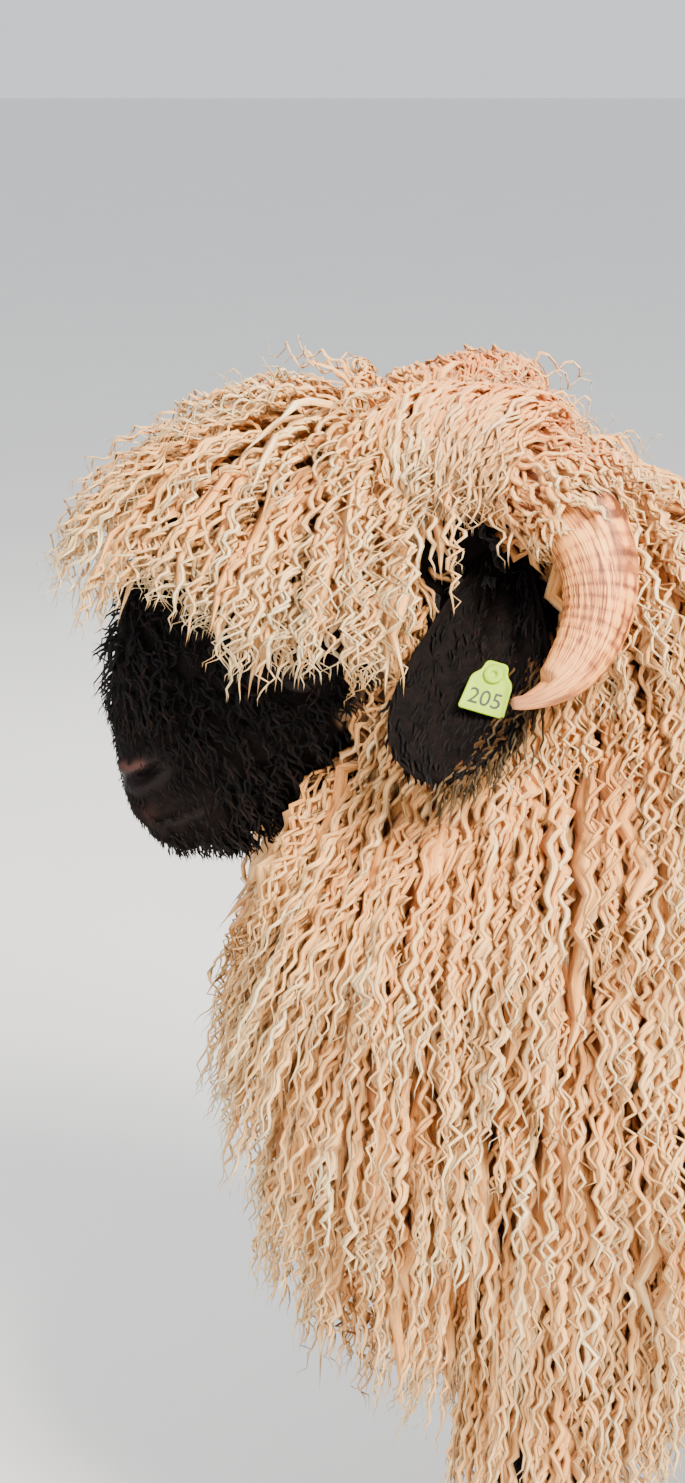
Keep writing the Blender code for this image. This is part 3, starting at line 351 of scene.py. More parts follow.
class Finish:
    """A material whose Principled shader takes values, sockets and bumps."""

    def __init__(self, name, **fixed):
        self.material = bpy.data.materials.new(name)
        self.material.use_nodes = True
        self.tree = self.material.node_tree
        self.shader = self.tree.nodes["Principled BSDF"]
        self.set(**fixed)

    def set(self, **sockets):
        for name, part in sockets.items():
            put(self.tree, part, self.shader.inputs[name.replace("_", " ")])

    def node(self, kind, settings=None, output=0, stops=None, **sockets):
        """Any other node: its settings first, then its sockets by name or number."""
        node = self.tree.nodes.new(kind)
        for name, setting in (settings or {}).items():
            setattr(node, name, setting)
        if stops:
            ramp = node.color_ramp
            while len(ramp.elements) < len(stops):
                ramp.elements.new(1.0)
            for element, (place, colour) in zip(ramp.elements, stops):
                element.position, element.color = place, (*colour, 1.0)
        for name, part in sockets.items():
            key = int(name[1:]) if name[0] == "n" and name[1:].isdigit() else name.replace("_", " ")
            put(self.tree, part, node.inputs[key])
        return Value(self.tree, node.outputs[output])

    def place(self):
        return self.node("ShaderNodeTexCoord", output=3)

    def attribute(self, name):
        return self.node("ShaderNodeAttribute", {"attribute_name": name}, output=2)

    def mapped(self, scale):
        return self.node("ShaderNodeMapping", Vector=self.place(), Scale=scale)

    def noise(self, scale, detail=3.0, rough=0.55, where=None, twist=0.0):
        return self.node("ShaderNodeTexNoise", Vector=where or self.place(), Scale=scale, Detail=detail,
                         Roughness=rough, Distortion=twist)

    def blend(self, share, first, second):
        return self.node("ShaderNodeMix", {"data_type": "RGBA"}, output=2, n0=share, n6=first, n7=second)

    def ramp(self, value, *stops):
        return self.node("ShaderNodeValToRGB", stops=stops, Fac=value)

    def near(self, spot, inner, outer):
        """1 within inner of the spot, falling to 0 at outer."""
        spot = (spot[0] - BREAST_TO_MIDDLE, spot[1], spot[2])
        length = self.node("ShaderNodeVectorMath", {"operation": "DISTANCE"}, output=1, n0=self.place(), n1=spot)
        return self.node("ShaderNodeMapRange", {"interpolation_type": "SMOOTHSTEP"}, Value=length,
                         From_Min=inner, From_Max=outer, To_Min=1.0, To_Max=0.0)

    def bump(self, height, depth, before=None):
        bumped = self.node("ShaderNodeBump", Height=height, Distance=depth, Strength=1.0, Normal=before)
        self.set(Normal=bumped)
        return bumped


# UMBER is the dark end of the wool's ramp; on the undercoat's low-toned locks it is painted shade between the strands.
CREAM, TAN, UMBER = (1.0, 0.555, 0.200), (0.86, 0.37, 0.090), (0.58, 0.220, 0.052)
STAIN = (0.92, 0.30, 0.07)
BLACK, BROWN_BLACK = (0.004, 0.003, 0.003), (0.024, 0.010, 0.007)


def wool_finish(name, sheen, shine):
    """Cream wool: paler at the tips, browner at the roots and where a lock's tone is low, streaked by its hairs, with a
    tan stain over the horns' roots and brownish black where the marking says so. The undercoat's locks get a low tone,
    so their brown is painted shade between the strands."""
    f = Finish(name, Roughness=0.60, Specular_IOR_Level=shine, Sheen_Weight=sheen, Sheen_Roughness=0.5)
    tone, along, black = f.attribute("tone"), f.attribute("along"), f.attribute("black")
    patch = f.noise(9.0, 2.0)
    where = f.node("ShaderNodeCombineXYZ", X=along * 5.0, Y=f.attribute("across") * 5.0, Z=tone * 60.0)
    hairs = f.noise(1.0, 3.0, 0.6, where)
    light = (tone * 0.55 + along * 0.50 + patch * 0.30 + hairs * 1.30 - 0.85).clamp(0.0, 1.0)
    cream = f.ramp(light, (0.0, UMBER), (0.30, TAN), (0.62, CREAM), (1.0, (1.0, 0.84, 0.50)))
    stain = f.near((0.100, -0.060, 0.905), 0.025, 0.085) + f.near((0.100, 0.060, 0.905), 0.025, 0.085)
    stained = f.blend((stain * (patch * 1.1 + 0.25)).clamp(0.0, 0.80), cream, STAIN)
    dark = f.ramp(tone * 0.6 + along * 0.5, (0.0, BLACK), (0.65, BLACK), (1.0, BROWN_BLACK))
    f.set(Base_Color=f.blend(black, stained, dark))
    f.bump(hairs, 0.0020)
    return f.material


def skin_finish():
    """The short wool next to the skin, with the coat's markings, fine wrinkles and a smooth moist nose."""
    f = Finish("skin", Specular_IOR_Level=0.07)
    black, bare = f.attribute("black"), f.attribute("bare")
    clumps = f.noise(140.0, 4.0, 0.6)
    patch = f.noise(18.0, 2.0)
    wool = f.ramp(clumps * 0.6 + patch * 0.4, (0.30, (0.36, 0.18, 0.080)), (0.70, (0.60, 0.36, 0.19)))
    dark = f.ramp(clumps, (0.35, (0.002, 0.0015, 0.0015)), (0.75, (0.008, 0.0045, 0.004)))
    coat = f.blend(black, wool, dark)
    cells = f.node("ShaderNodeTexVoronoi", Vector=f.place(), Scale=520.0)
    moist = f.blend(bare, coat, (0.010, 0.007, 0.007))
    # The nostril wings get a painted pinkish highlight and the upper lip its brownish colour, both from one mark.
    f.set(Base_Color=f.blend(f.attribute("wing_highlight_and_lip"), moist, (0.085, 0.036, 0.030)), Roughness=0.78 - bare * 0.34)
    f.bump(clumps * (1.0 - bare) + cells * bare * 0.25, 0.0022)
    return f.material


def horn_finish():
    """Horn: pinkish tan with brown wavy grain along it, and painted shade that darkens the grooves between the rings.
    """
    f = Finish("horn", Specular_IOR_Level=0.45)
    along, round_, groove = f.attribute("along"), f.attribute("round"), f.attribute("groove")
    where = f.node("ShaderNodeCombineXYZ", X=along * 5.0, Y=round_ * 13.0, Z=0.0)
    grain = f.noise(2.2, 5.0, 0.62, where, 0.6)
    broad = f.noise(26.0, 3.0)
    # Subtracting groove darkens the grooves between the growth rings: painted shade in the recesses.
    shade = (grain * 0.95 + broad * 0.40 - groove * 0.10 - 0.18).clamp(0.0, 1.0)
    colour = f.ramp(shade, (0.38, (0.14, 0.034, 0.008)), (0.46, (0.46, 0.140, 0.036)), (0.53, (0.90, 0.34, 0.075)),
                    (0.74, (1.0, 0.57, 0.19)))
    tip = f.ramp(along, (0.80, (0.0, 0.0, 0.0)), (1.0, (1.0, 1.0, 1.0)))
    f.set(Base_Color=f.blend(tip, colour, (0.50, 0.20, 0.08)), Roughness=0.42 + grain * 0.25)
    f.bump(grain * 0.8 + broad * 0.2, 0.0012)
    return f.material


def eye_finish():
    """A brown eye: amber iris round a pupil that is a level bar, in a darker rim, under a clear wet coat."""
    f = Finish("eye", Roughness=0.08, Coat_Weight=0.6, Coat_Roughness=0.03)
    iris, pupil = f.attribute("iris"), f.attribute("pupil")
    streaks = f.noise(900.0, 3.0)
    amber = f.ramp(streaks, (0.30, (0.055, 0.026, 0.010)), (0.70, (0.16, 0.085, 0.030)))
    rim = f.blend(iris, (0.022, 0.015, 0.012), amber)
    f.set(Base_Color=f.blend(pupil, rim, (0.003, 0.003, 0.004)))
    return f.material


def hoof_finish():
    """Black hoof horn with fine upright streaks and level growth lines, dusty near the ground."""
    f = Finish("hoof", Specular_IOR_Level=0.35)
    streaks = f.noise(1.0, 4.0, 0.6, f.mapped((420.0, 420.0, 40.0)))
    lines = f.noise(1.0, 2.0, 0.5, f.mapped((20.0, 20.0, 330.0)))
    dust = f.node("ShaderNodeSeparateXYZ", output=2, Vector=f.place())
    low = f.node("ShaderNodeMapRange", Value=dust, From_Min=0.0, From_Max=0.022, To_Min=1.0, To_Max=0.0)
    colour = f.ramp(streaks, (0.25, (0.018, 0.015, 0.014)), (0.80, (0.085, 0.068, 0.056)))
    f.set(Base_Color=f.blend((low * streaks).clamp(0.0, 0.5), colour, (0.20, 0.15, 0.11)))
    f.set(Roughness=0.42 + lines * 0.25)
    f.bump(streaks * 0.4 + lines * 0.6, 0.0007)
    return f.material


def tag_finish(name, colour, rough):
    """Flexible plastic with a fine moulded grain, scuffed a little."""
    f = Finish(name, Specular_IOR_Level=0.5)
    grain, scuffs = f.noise(2600.0, 2.0), f.noise(160.0, 4.0, 0.7)
    worn = tuple(0.80 * c + 0.03 for c in colour)
    f.set(Base_Color=f.blend(f.ramp(scuffs, (0.45, (0, 0, 0)), (0.75, (1, 1, 1))), colour, worn))
    f.set(Roughness=scuffs * 0.25 + rough)
    f.bump(grain, 0.00012)
    return f.material


def floor_finish():
    f = Finish("floor", Roughness=0.85)
    mottle = f.noise(3.0, 2.0)
    f.set(Base_Color=f.ramp(mottle, (0.3, (0.78, 0.78, 0.77)), (0.7, (0.80, 0.80, 0.79))))
    return f.material


# Markings


def black_share(p):
    """How black the coat is: nose to the middle of the head, knees and hocks, feet."""
    x, y, z = p[:, 0], p[:, 1], p[:, 2]
    wander = 0.006 * np.sin(70 * z + 3 * np.sign(y)) + 0.004 * np.sin(170 * z + 40 * y)
    edge = np.interp(z, [0.60, 0.64, 0.68, 0.73, 0.78, 0.83, 0.86, 0.92],
                     [-0.020, -0.026, 0.0, 0.008, 0.012, 0.0, -0.040, -0.075])
    face = 1 - smoothstep(-0.006, 0.006, x - edge - wander)
    face = face * (z > 0.56) * (x < 0.06)
    knee = smoothstep(0.062, 0.040, np.hypot(z - 0.268, (x - 0.118) * 0.9)) * (x < 0.4)
    hock = smoothstep(0.066, 0.044, np.hypot(z - 0.282, (x - 0.838) * 0.9)) * (x > 0.4)
    boot = 1 - smoothstep(0.100, 0.122, z + wander * 2)
    return np.clip(np.maximum.reduce([face, knee, hock, boot]), 0, 1)


# Horns, ears


def horn_line(share, side):
    """The horn's middle: a circle's arc in the side view whose radius shrinks, drifting outwards."""
    share = np.asarray(share, float)
    angle = HORN_START - HORN_TURN * share
    radius = HORN_SPIRAL[0] + (HORN_SPIRAL[1] - HORN_SPIRAL[0]) * share
    out = HORN_OUT[0] + (HORN_OUT[1] - HORN_OUT[0]) * np.maximum(share, 0) ** 0.85
    return np.stack([HORN_AXIS[0] + radius * np.cos(angle), side * out, HORN_AXIS[1] + radius * np.sin(angle)], axis=-1)


def horn_frame(share, side):
    """Directions along the horn, away from the spiral's axis, and square to both."""
    middle = horn_line(share, side)
    along = unit(horn_line(share + 0.01, side) - horn_line(share - 0.01, side))
    hub = middle.copy()
    hub[..., 0], hub[..., 2] = HORN_AXIS
    away = middle - hub
    away = unit(away - along * dot(away, along))
    return along, away, np.cross(along, away)


def horn_radius(share):
    return HORN_RADIUS * (1 - share**2.1) ** 0.62


def horn_ridges(share, turn):
    """Near 1 on the growth rings and 0 in the grooves between them."""
    wave = 26 * share + 1.4 * np.sin(9 * share) + 0.10 * np.sin(2 * turn)
    return np.abs(np.sin(math.pi * wave)) ** 0.6


def horn_grid(side, rings, sides):
    """Ellipses along the middle line, swollen by uneven growth rings and cut by grooves between them."""
    share = np.linspace(0, 0.985, rings)
    angle = np.arange(sides) * 2 * math.pi / sides
    along, away, deep = horn_frame(share, side)
    s, a = np.meshgrid(share, angle, indexing="ij")
    radius = (horn_radius(s) + 0.0016) * (1 - 0.34 * smoothstep(0.80, 0.98, s))
    ridges = horn_ridges(s, a)
    fade = 1 - smoothstep(0.72, 0.98, s)
    uneven = 0.5 + 0.5 * np.sin(17 * s + 2)
    rough = 0.007 * np.sin(13 * a + 4 * np.sin(6 * s)) * fade
    radius = radius * (1 + 0.040 * uneven * (ridges - 0.6) * fade + rough)
    bulge = 1 + 0.10 * np.cos(a)
    middle = horn_line(share, side)
    points = (
        middle[:, None]
        + away[:, None] * (np.cos(a) * bulge * radius)[..., None]
        + deep[:, None] * (np.sin(a) * 0.84 * radius)[..., None]
    )
    return points, s, a


def ear_frame(side):
    """Root, length, axis, width direction and the way the hollow side looks."""
    root, tip = EAR_ROOT * [1, side, 1], EAR_TIP * [1, side, 1]
    axis = unit(tip - root)
    looks = EAR_LOOKS * [1, side, 1]
    looks = unit(looks - axis * dot(looks, axis))
    return root, np.linalg.norm(tip - root), axis, unit(np.cross(axis, looks)), looks


def ear_sheet(side, share, across):
    """Points of the ear's middle sheet: a strip that is rolled tight at the root and opens into a leaf.
    share runs from root to tip and across from -1 to 1."""
    root, length, axis, wide, looks = ear_frame(side)
    half = EAR_HALF_WIDTH * (0.36 + 0.64 * np.sin(math.pi * np.minimum(1, share * 1.25 + 0.06) / 2))
    half = half * (np.maximum(0.0, 1 - np.maximum(0.0, (share - 0.42) / 0.58) ** 2.4) ** 0.5 + 0.06)
    roll = EAR_ROLL[1] + (EAR_ROLL[0] - EAR_ROLL[1]) * (1 - np.clip(share, 0, 1)) ** 2.2
    radius, angle = half / roll, roll * across
    lift = radius * (1 - np.cos(angle))
    lean = 0.016 * smoothstep(0.40, 1.0, share) * np.sign(wide[0])
    folds = 0.0042 * smoothstep(0.60, 0.15, share) * np.cos(3.2 * math.pi * across)
    folds = folds * smoothstep(0.95, 0.75, np.abs(across))
    return (
        root
        + axis * (length * share)[..., None]
        + wide * (radius * np.sin(angle) - lean)[..., None]
        + looks * (lift + folds)[..., None]
    )


def ear_body(side, rows=56, columns=36):
    """The ear as a closed body: the sheet's front and back set apart, thin at the rim."""
    share = np.linspace(-0.06, 0.995, rows)
    turn = np.linspace(0, 2 * math.pi, 2 * columns, endpoint=False)
    s, t = np.meshgrid(share, turn, indexing="ij")
    across = np.cos(t) * 0.99
    middle = ear_sheet(side, s, across)
    step = 1e-3
    u = ear_sheet(side, s + step, across) - ear_sheet(side, s - step, across)
    v = ear_sheet(side, s, across + step) - ear_sheet(side, s, across - step)
    out = unit(np.cross(u, v))
    out = out * np.sign(dot(out, ear_frame(side)[4]))
    out = np.where(dot(out, out) > 0.5, out, ear_frame(side)[4])
    half = EAR_THICKNESS / 2 * (1.1 - 0.45 * np.clip(s, 0, 1))
    return middle + out * (np.sin(t) * half)[..., None]


# The skin


def ridge(distance, width):
    return np.exp(-((distance / width) ** 2))


def line_distance(p, line):
    """Distance of each point from a broken line, with the share along it of the nearest place."""
    line = np.asarray(line, float)
    start, run = line[:-1], np.diff(line, axis=0)
    best, share = np.full(len(p), 1e9), np.zeros(len(p))
    for k in range(len(run)):
        t = np.clip(((p - start[k]) @ run[k]) / (run[k] @ run[k]), 0, 1)
        d = np.linalg.norm(p - start[k] - t[:, None] * run[k], axis=1)
        share = np.where(d < best, (k + t) / len(run), share)
        best = np.minimum(best, d)
    return best, share


MOUTH = [(-0.080, 0.038, 0.6800), (-0.098, 0.039, 0.6735), (-0.118, 0.034, 0.6670), (-0.132, 0.022, 0.6625),
         (-0.139, 0.0, 0.6612)]
CHEEK_FOLD = [(-0.100, 0.046, 0.700), (-0.090, 0.049, 0.716), (-0.093, 0.047, 0.732)]
NOSTRIL = [(-0.1145, 0.0365, 0.7045), (-0.1235, 0.0345, 0.6975), (-0.1315, 0.0290, 0.6930), (-0.1370, 0.0195, 0.6920)]


def sculpt_head(points, normals):
    """Moves the head's surface: hollows under the eyes, brow, jaw, nostril slits with raised wings, the groove
    between them, the line of the mouth, the lips and the chin."""
    p = points.copy()
    mirrored = folded(p)
    d, share = line_distance(mirrored, NOSTRIL)
    wing, _ = line_distance(mirrored, np.array(NOSTRIL) + [-0.001, 0.0005, 0.0062])
    low_wing, _ = line_distance(mirrored, np.array(NOSTRIL) + [0.001, 0.0, -0.0070])
    shift = -0.0105 * ridge(d, 0.0036) * np.sin(math.pi * np.clip(share * 0.8 + 0.15, 0, 1))
    shift += 0.0030 * ridge(wing, 0.0040) + 0.0010 * ridge(low_wing, 0.004)
    m, share = line_distance(mirrored, MOUTH)
    shift += -0.0045 * ridge(m, 0.0018)
    upper, _ = line_distance(mirrored, np.array(MOUTH) + [0, 0, 0.0075])
    lower, _ = line_distance(mirrored, np.array(MOUTH) + [0.004, 0, -0.0070])
    shift += 0.0024 * ridge(upper, 0.0058) + 0.0022 * ridge(lower, 0.0050)
    philtrum = ridge(mirrored[:, 1], 0.0016) * smoothstep(0.664, 0.672, p[:, 2]) * smoothstep(0.700, 0.690, p[:, 2])
    shift += -0.0018 * philtrum * (p[:, 0] < -0.11)
    eye = np.linalg.norm(mirrored - (EYE + [0, 0.010, 0]), axis=1)
    shift += -0.0060 * smoothstep(0.026, 0.010, eye)
    brow, _ = line_distance(mirrored, [(-0.048, 0.055, 0.796), (-0.022, 0.062, 0.803), (0.008, 0.060, 0.796)])
    shift += 0.0045 * ridge(brow, 0.010)
    tear, _ = line_distance(mirrored, [(-0.046, 0.060, 0.762), (-0.066, 0.058, 0.748), (-0.080, 0.052, 0.730)])
    shift += -0.0030 * ridge(tear, 0.007)
    cheek = np.linalg.norm(mirrored - np.array([-0.030, 0.058, 0.722]), axis=1)
    shift += 0.0030 * ridge(cheek, 0.028)
    jaw, _ = line_distance(mirrored, [(0.020, 0.045, 0.722), (-0.030, 0.042, 0.690), (-0.070, 0.030, 0.660)])
    shift += 0.0020 * ridge(jaw, 0.012)
    bridge = ridge(mirrored[:, 1] - 0.018, 0.009) * smoothstep(0.70, 0.74, p[:, 2]) * (p[:, 0] < -0.10)
    shift += 0.0015 * bridge
    for k in range(3):
        fold, _ = line_distance(mirrored, np.array(CHEEK_FOLD) + [0.012 * k, 0.001, 0.002 * k])
        shift += -0.0012 * ridge(fold, 0.0022)
    return p + normals * shift[:, None]


def ear_distance(p):
    """Distance of each point from the nearer ear's axis."""
    return np.minimum(*(line_distance(p, [EAR_ROOT * [1, side, 1], EAR_TIP * [1, side, 1]])[0] for _, side in SIDES))


def grid_normals(points):
    """Outward directions of a grid that is closed round its second axis."""
    du = np.gradient(points, axis=0)
    dv = np.roll(points, -1, 1) - np.roll(points, 1, 1)
    out = unit(np.cross(du, dv))
    middle = points.mean(1, keepdims=True)
    return out * np.sign(dot(out, points - middle).mean())


def eye_frame(side):
    """The way the eye looks, and its level direction."""
    look = unit(np.array([-0.26, side * 1.0, 0.06]))
    return look, unit(np.cross(look, DOWN) * side)


def lids(side):
    """Eyelids: a shell over the eye, thick at its almond opening, sunk into the socket all round."""
    centre = EYE * [1, side, 1]
    look, level = eye_frame(side)
    slant = math.radians(14)
    up = np.cross(level, look) * side
    up = up * np.sign(up[2])
    fore, high = level * math.cos(slant) + up * math.sin(slant), up * math.cos(slant) - level * math.sin(slant)
    sides = 64
    around = np.linspace(0, 2 * math.pi, sides, endpoint=False)
    wide, tall = math.radians(46), np.where(np.sin(around) > 0, math.radians(27), math.radians(24))
    open_ = 1 / np.sqrt((np.cos(around) / wide) ** 2 + (np.sin(around) / tall) ** 2)
    profile = [(0.0, 0.0003), (0.0, 0.0012), (0.06, 0.0024), (0.16, 0.0030), (0.30, 0.0024), (0.34, 0.0031),
               (0.55, 0.0022), (1.0, 0.0014), (1.0, -0.004), (0.6, -0.0035), (0.2, 0.0002)]
    rings = []
    for share, off in profile:
        polar = open_ + (math.radians(98) - open_) * share
        round_ = fore * np.cos(around)[:, None] + high * np.sin(around)[:, None]
        ray = look * np.cos(polar)[:, None] + round_ * np.sin(polar)[:, None]
        rings.append(centre + ray * (EYE_RADIUS + off))
    points = np.array(rings)
    faces = grid_faces(len(profile), sides)
    k = np.arange(sides)
    last = (len(profile) - 1) * sides + k
    close = np.column_stack([last, last[(k + 1) % sides], (k + 1) % sides, k])
    return face_out(mesh_object("lid", points.reshape(-1, 3), np.concatenate([faces, close])))


TILES = {
    "torso": (0.00, 0.00, 0.62, 0.62), "neck": (0.00, 0.64, 0.36, 1.00), "head": (0.38, 0.64, 0.74, 1.00),
    "leg_front_left": (0.64, 0.00, 0.72, 0.30), "leg_front_right": (0.74, 0.00, 0.82, 0.30),
    "leg_hind_left": (0.64, 0.32, 0.72, 0.62), "leg_hind_right": (0.74, 0.32, 0.82, 0.62),
    "tail": (0.84, 0.00, 0.92, 0.62), "ear_left": (0.76, 0.64, 0.86, 1.00), "ear_right": (0.88, 0.64, 0.98, 1.00),
}
LOFTS = {"torso": Loft(TORSO, tile=TILES["torso"]), "neck": Loft(NECK, tile=TILES["neck"]),
         "head": Loft(HEAD, tile=TILES["head"]), "tail": Loft(TAIL, tile=TILES["tail"])}
for place, rows in (("front", FRONT_LEG), ("hind", HIND_LEG)):
    for word, side in SIDES:
        name = f"leg_{place}_{word}"
        LOFTS[name] = Loft(rows, side * LEG_SPREAD[place], TILES[name])

GRIDS = {"torso": (110, 96), "neck": (60, 80), "head": (230, 190), "tail": (44, 24)}


def make_skin():
    """All the body parts as one closed surface, with the sculpted head, lids and ears."""
    bodies = []
    for name, loft in LOFTS.items():
        rings, sides = GRIDS.get(name, (70, 40))
        points = loft.grid(rings, sides)
        if name == "head":
            normals = grid_normals(points)
            points = sculpt_head(points.reshape(-1, 3), normals.reshape(-1, 3)).reshape(points.shape)
        bodies.append(closed_grid("part_" + name, points))
    head = bodies.pop(list(LOFTS).index("head"))
    for word, side in SIDES:
        bodies.append(closed_grid("part_ear_" + word, ear_body(side)))
    skin = boolean(head, bodies, "UNION")
    sockets = []
    for word, side in SIDES:
        bm = bmesh.new()
        bmesh.ops.create_uvsphere(bm, u_segments=48, v_segments=32, radius=EYE_RADIUS + GAP)
        bmesh.ops.translate(bm, verts=bm.verts, vec=Vector(EYE * [1, side, 1] - [BREAST_TO_MIDDLE, 0, 0]))
        mesh = bpy.data.meshes.new("socket")
        bm.to_mesh(mesh)
        bm.free()
        socket = bpy.data.objects.new("socket", mesh)
        bpy.context.scene.collection.objects.link(socket)
        sockets.append(socket)
    skin = boolean(skin, sockets, "DIFFERENCE")
    skin = boolean(skin, [lids(-1), lids(1)], "UNION")
    skin.name = skin.data.name = "skin"
    p = vertices_of(skin)
    on_ear = (ear_distance(p) < 0.055) & (np.abs(p[:, 1]) > 0.055) & (p[:, 2] < 0.865) & (p[:, 0] > 0.02)
    give(skin, "black", np.maximum(black_share(p), on_ear))
    m = folded(p)
    between = line_distance(m, [(-0.1425, 0, 0.705), (-0.140, 0, 0.680)])[0]
    nose = np.minimum(line_distance(m, NOSTRIL)[0], between)
    lips = line_distance(m, MOUTH)[0]
    lid = np.linalg.norm(m - (EYE + [0, 0.008, 0]), axis=1)
    bare = [smoothstep(0.014, 0.006, nose), smoothstep(0.006, 0.002, lips) * 0.7, smoothstep(0.019, 0.014, lid)]
    bare = np.maximum.reduce(bare)
    give(skin, "bare", bare)
    # A painted pinkish highlight along each nostril's raised wing, and the upper lip's own brownish colour, in one
    # mark.
    wing = line_distance(m, np.array(NOSTRIL[1:]) + [-0.001, 0.0005, 0.0085])[0]
    lip = line_distance(m, np.array(MOUTH[2:]) + [0, 0, 0.0075])[0]
    give(skin, "wing_highlight_and_lip", 0.85 * ridge(wing, 0.0030) + 0.35 * ridge(lip, 0.0045))
    return skin


# The coat


def nearest(tree, points):
    """The nearest place on the tree's surface and the outward direction there, for each point."""
    found = [tree.find_nearest(p) for p in points.tolist()]
    return np.array([f[0] for f in found]), np.array([f[1] for f in found])


def guide_tree():
    """The bare body as a plain surface that the locks lie over."""
    parts = [closed_grid("guide_" + n, loft.grid(64, 56), shift=False) for n, loft in LOFTS.items()]
    body = boolean(parts[0], parts[1:], "UNION")
    bm = bmesh.new()
    bm.from_mesh(body.data)
    tree = BVHTree.FromBMesh(bm)
    bm.free()
    bpy.data.objects.remove(body)
    return tree


def sample(loft, count, accept, swell=0.0):
    """Random places on a loft, even over its area swollen by swell, kept where accept(points, normals) beats a draw."""
    rings, sides = 120, 96
    points = loft.grid(rings, sides)
    points = points + grid_normals(points) * swell
    du = np.diff(points, axis=0)
    dv = np.roll(points, -1, 1) - points
    area = np.linalg.norm(np.cross(du, dv[:-1]), axis=-1)
    cell = draw.choice(area.size, count, p=(area / area.sum()).ravel())
    share = (cell // sides + draw.random(count)) / (rings - 1)
    angle = (cell % sides + draw.random(count)) * 2 * math.pi / sides
    p = loft.at(share, angle)
    step = 1e-3
    du = loft.at(np.minimum(share + step, 1), angle) - loft.at(np.maximum(share - step, 0), angle)
    dv = loft.at(share, angle + step) - loft.at(share, angle - step)
    centre = (p + loft.at(share, angle + math.pi)) / 2
    n = unit(np.cross(du, dv))
    n = n * np.sign(dot(n, p - centre))
    keep = draw.random(count) < accept(p, n)
    return p[keep], n[keep], loft.unwrap(share, angle)[keep]


def spread_out(points, share=ROOTS_KEPT):
    """Indexes of about this share of the points, chosen so that none is much nearer to another than the rest."""
    finder = KDTree(len(points))
    for k, point in enumerate(points.tolist()):
        finder.insert(point, k)
    finder.balance()
    reach = np.median([finder.find_n(point, 4)[3][2] for point in points[:200].tolist()])
    taken = np.zeros(len(points), bool)
    for _ in range(5):
        taken[:] = False
        for k, point in enumerate(points.tolist()):
            taken[k] = not any(taken[j] for _, j, _ in finder.find_range(point, reach))
        reach *= math.sqrt(max(taken.mean() / share, 0.3))
    return np.nonzero(taken)[0]


def exposed(tree, p, slack=0.003):
    """Whether a place on one part lies on the outside of the whole body."""
    near, _ = nearest(tree, p)
    return np.linalg.norm(near - p, axis=1) < slack


def comb(tree, roots, normals, lies, length, layer, lift, weight, hug, steps=14):
    """Lines of locks. Each leaves its root, bends over into its lie, sinks with gravity, and is kept at its own
    layer over the surface, which rises from the root to the tip; hug pulls a lock that stands off back to it."""
    length, layer = np.asarray(length)[:, None], np.asarray(layer)[:, None]
    stride = length / steps
    points, outs = [roots - normals * 0.003], [normals]
    point = roots + normals * layer * 0.35
    heading = unit(normals * lift + lies)
    for step in range(steps):
        heading = unit(heading + DOWN * weight * stride)
        point = point + heading * stride
        near, out = nearest(tree, point)
        wanted = layer * (0.40 + 0.60 * (step + 1) / steps)
        height = dot(point - near, out)
        low = height < wanted
        point = point + out * np.clip(wanted - height, 0.0, 0.7 * stride)
        heading = np.where(low, unit(heading - out * np.minimum(0.0, dot(heading, out))), heading)
        over = np.clip(height - wanted * 1.15, 0.0, 0.5 * stride)
        point = point - out * over * hug
        points.append(point)
        outs.append(out)
    return np.stack(points, 1), np.stack(outs, 1)


def resample(lines, places):
    """Points on the lines at these shares of their steps, by cubics through the steps."""
    steps = lines.shape[1] - 1
    at = np.clip(np.broadcast_to(places, (len(lines), np.shape(places)[-1])), 0, 1) * steps
    i = np.clip(at.astype(int), 0, steps - 1)
    t, row = (at - i)[..., None], np.arange(len(lines))[:, None]
    a, b = lines[row, np.maximum(i - 1, 0)], lines[row, i]
    c, d = lines[row, i + 1], lines[row, np.minimum(i + 2, steps)]
    return b + 0.5 * t * (c - a + t * (2 * a - 5 * b + 4 * c - d + t * (3 * (b - c) + d - a)))


def cut(lines, outs, height):
    """Lines shortened to where they first go below height(points), with a little play, and which of them are left."""
    steps = lines.shape[1] - 1
    low = lines[..., 2] < height(lines)
    share = np.where(low.any(1), low.argmax(1), steps) / steps
    share = np.minimum(share * draw.uniform(0.90, 1.05, len(lines)), 1)
    places, keep = np.linspace(0, 1, steps + 1) * share[:, None], share > 0.30
    return resample(lines, places)[keep], resample(outs, places)[keep], keep


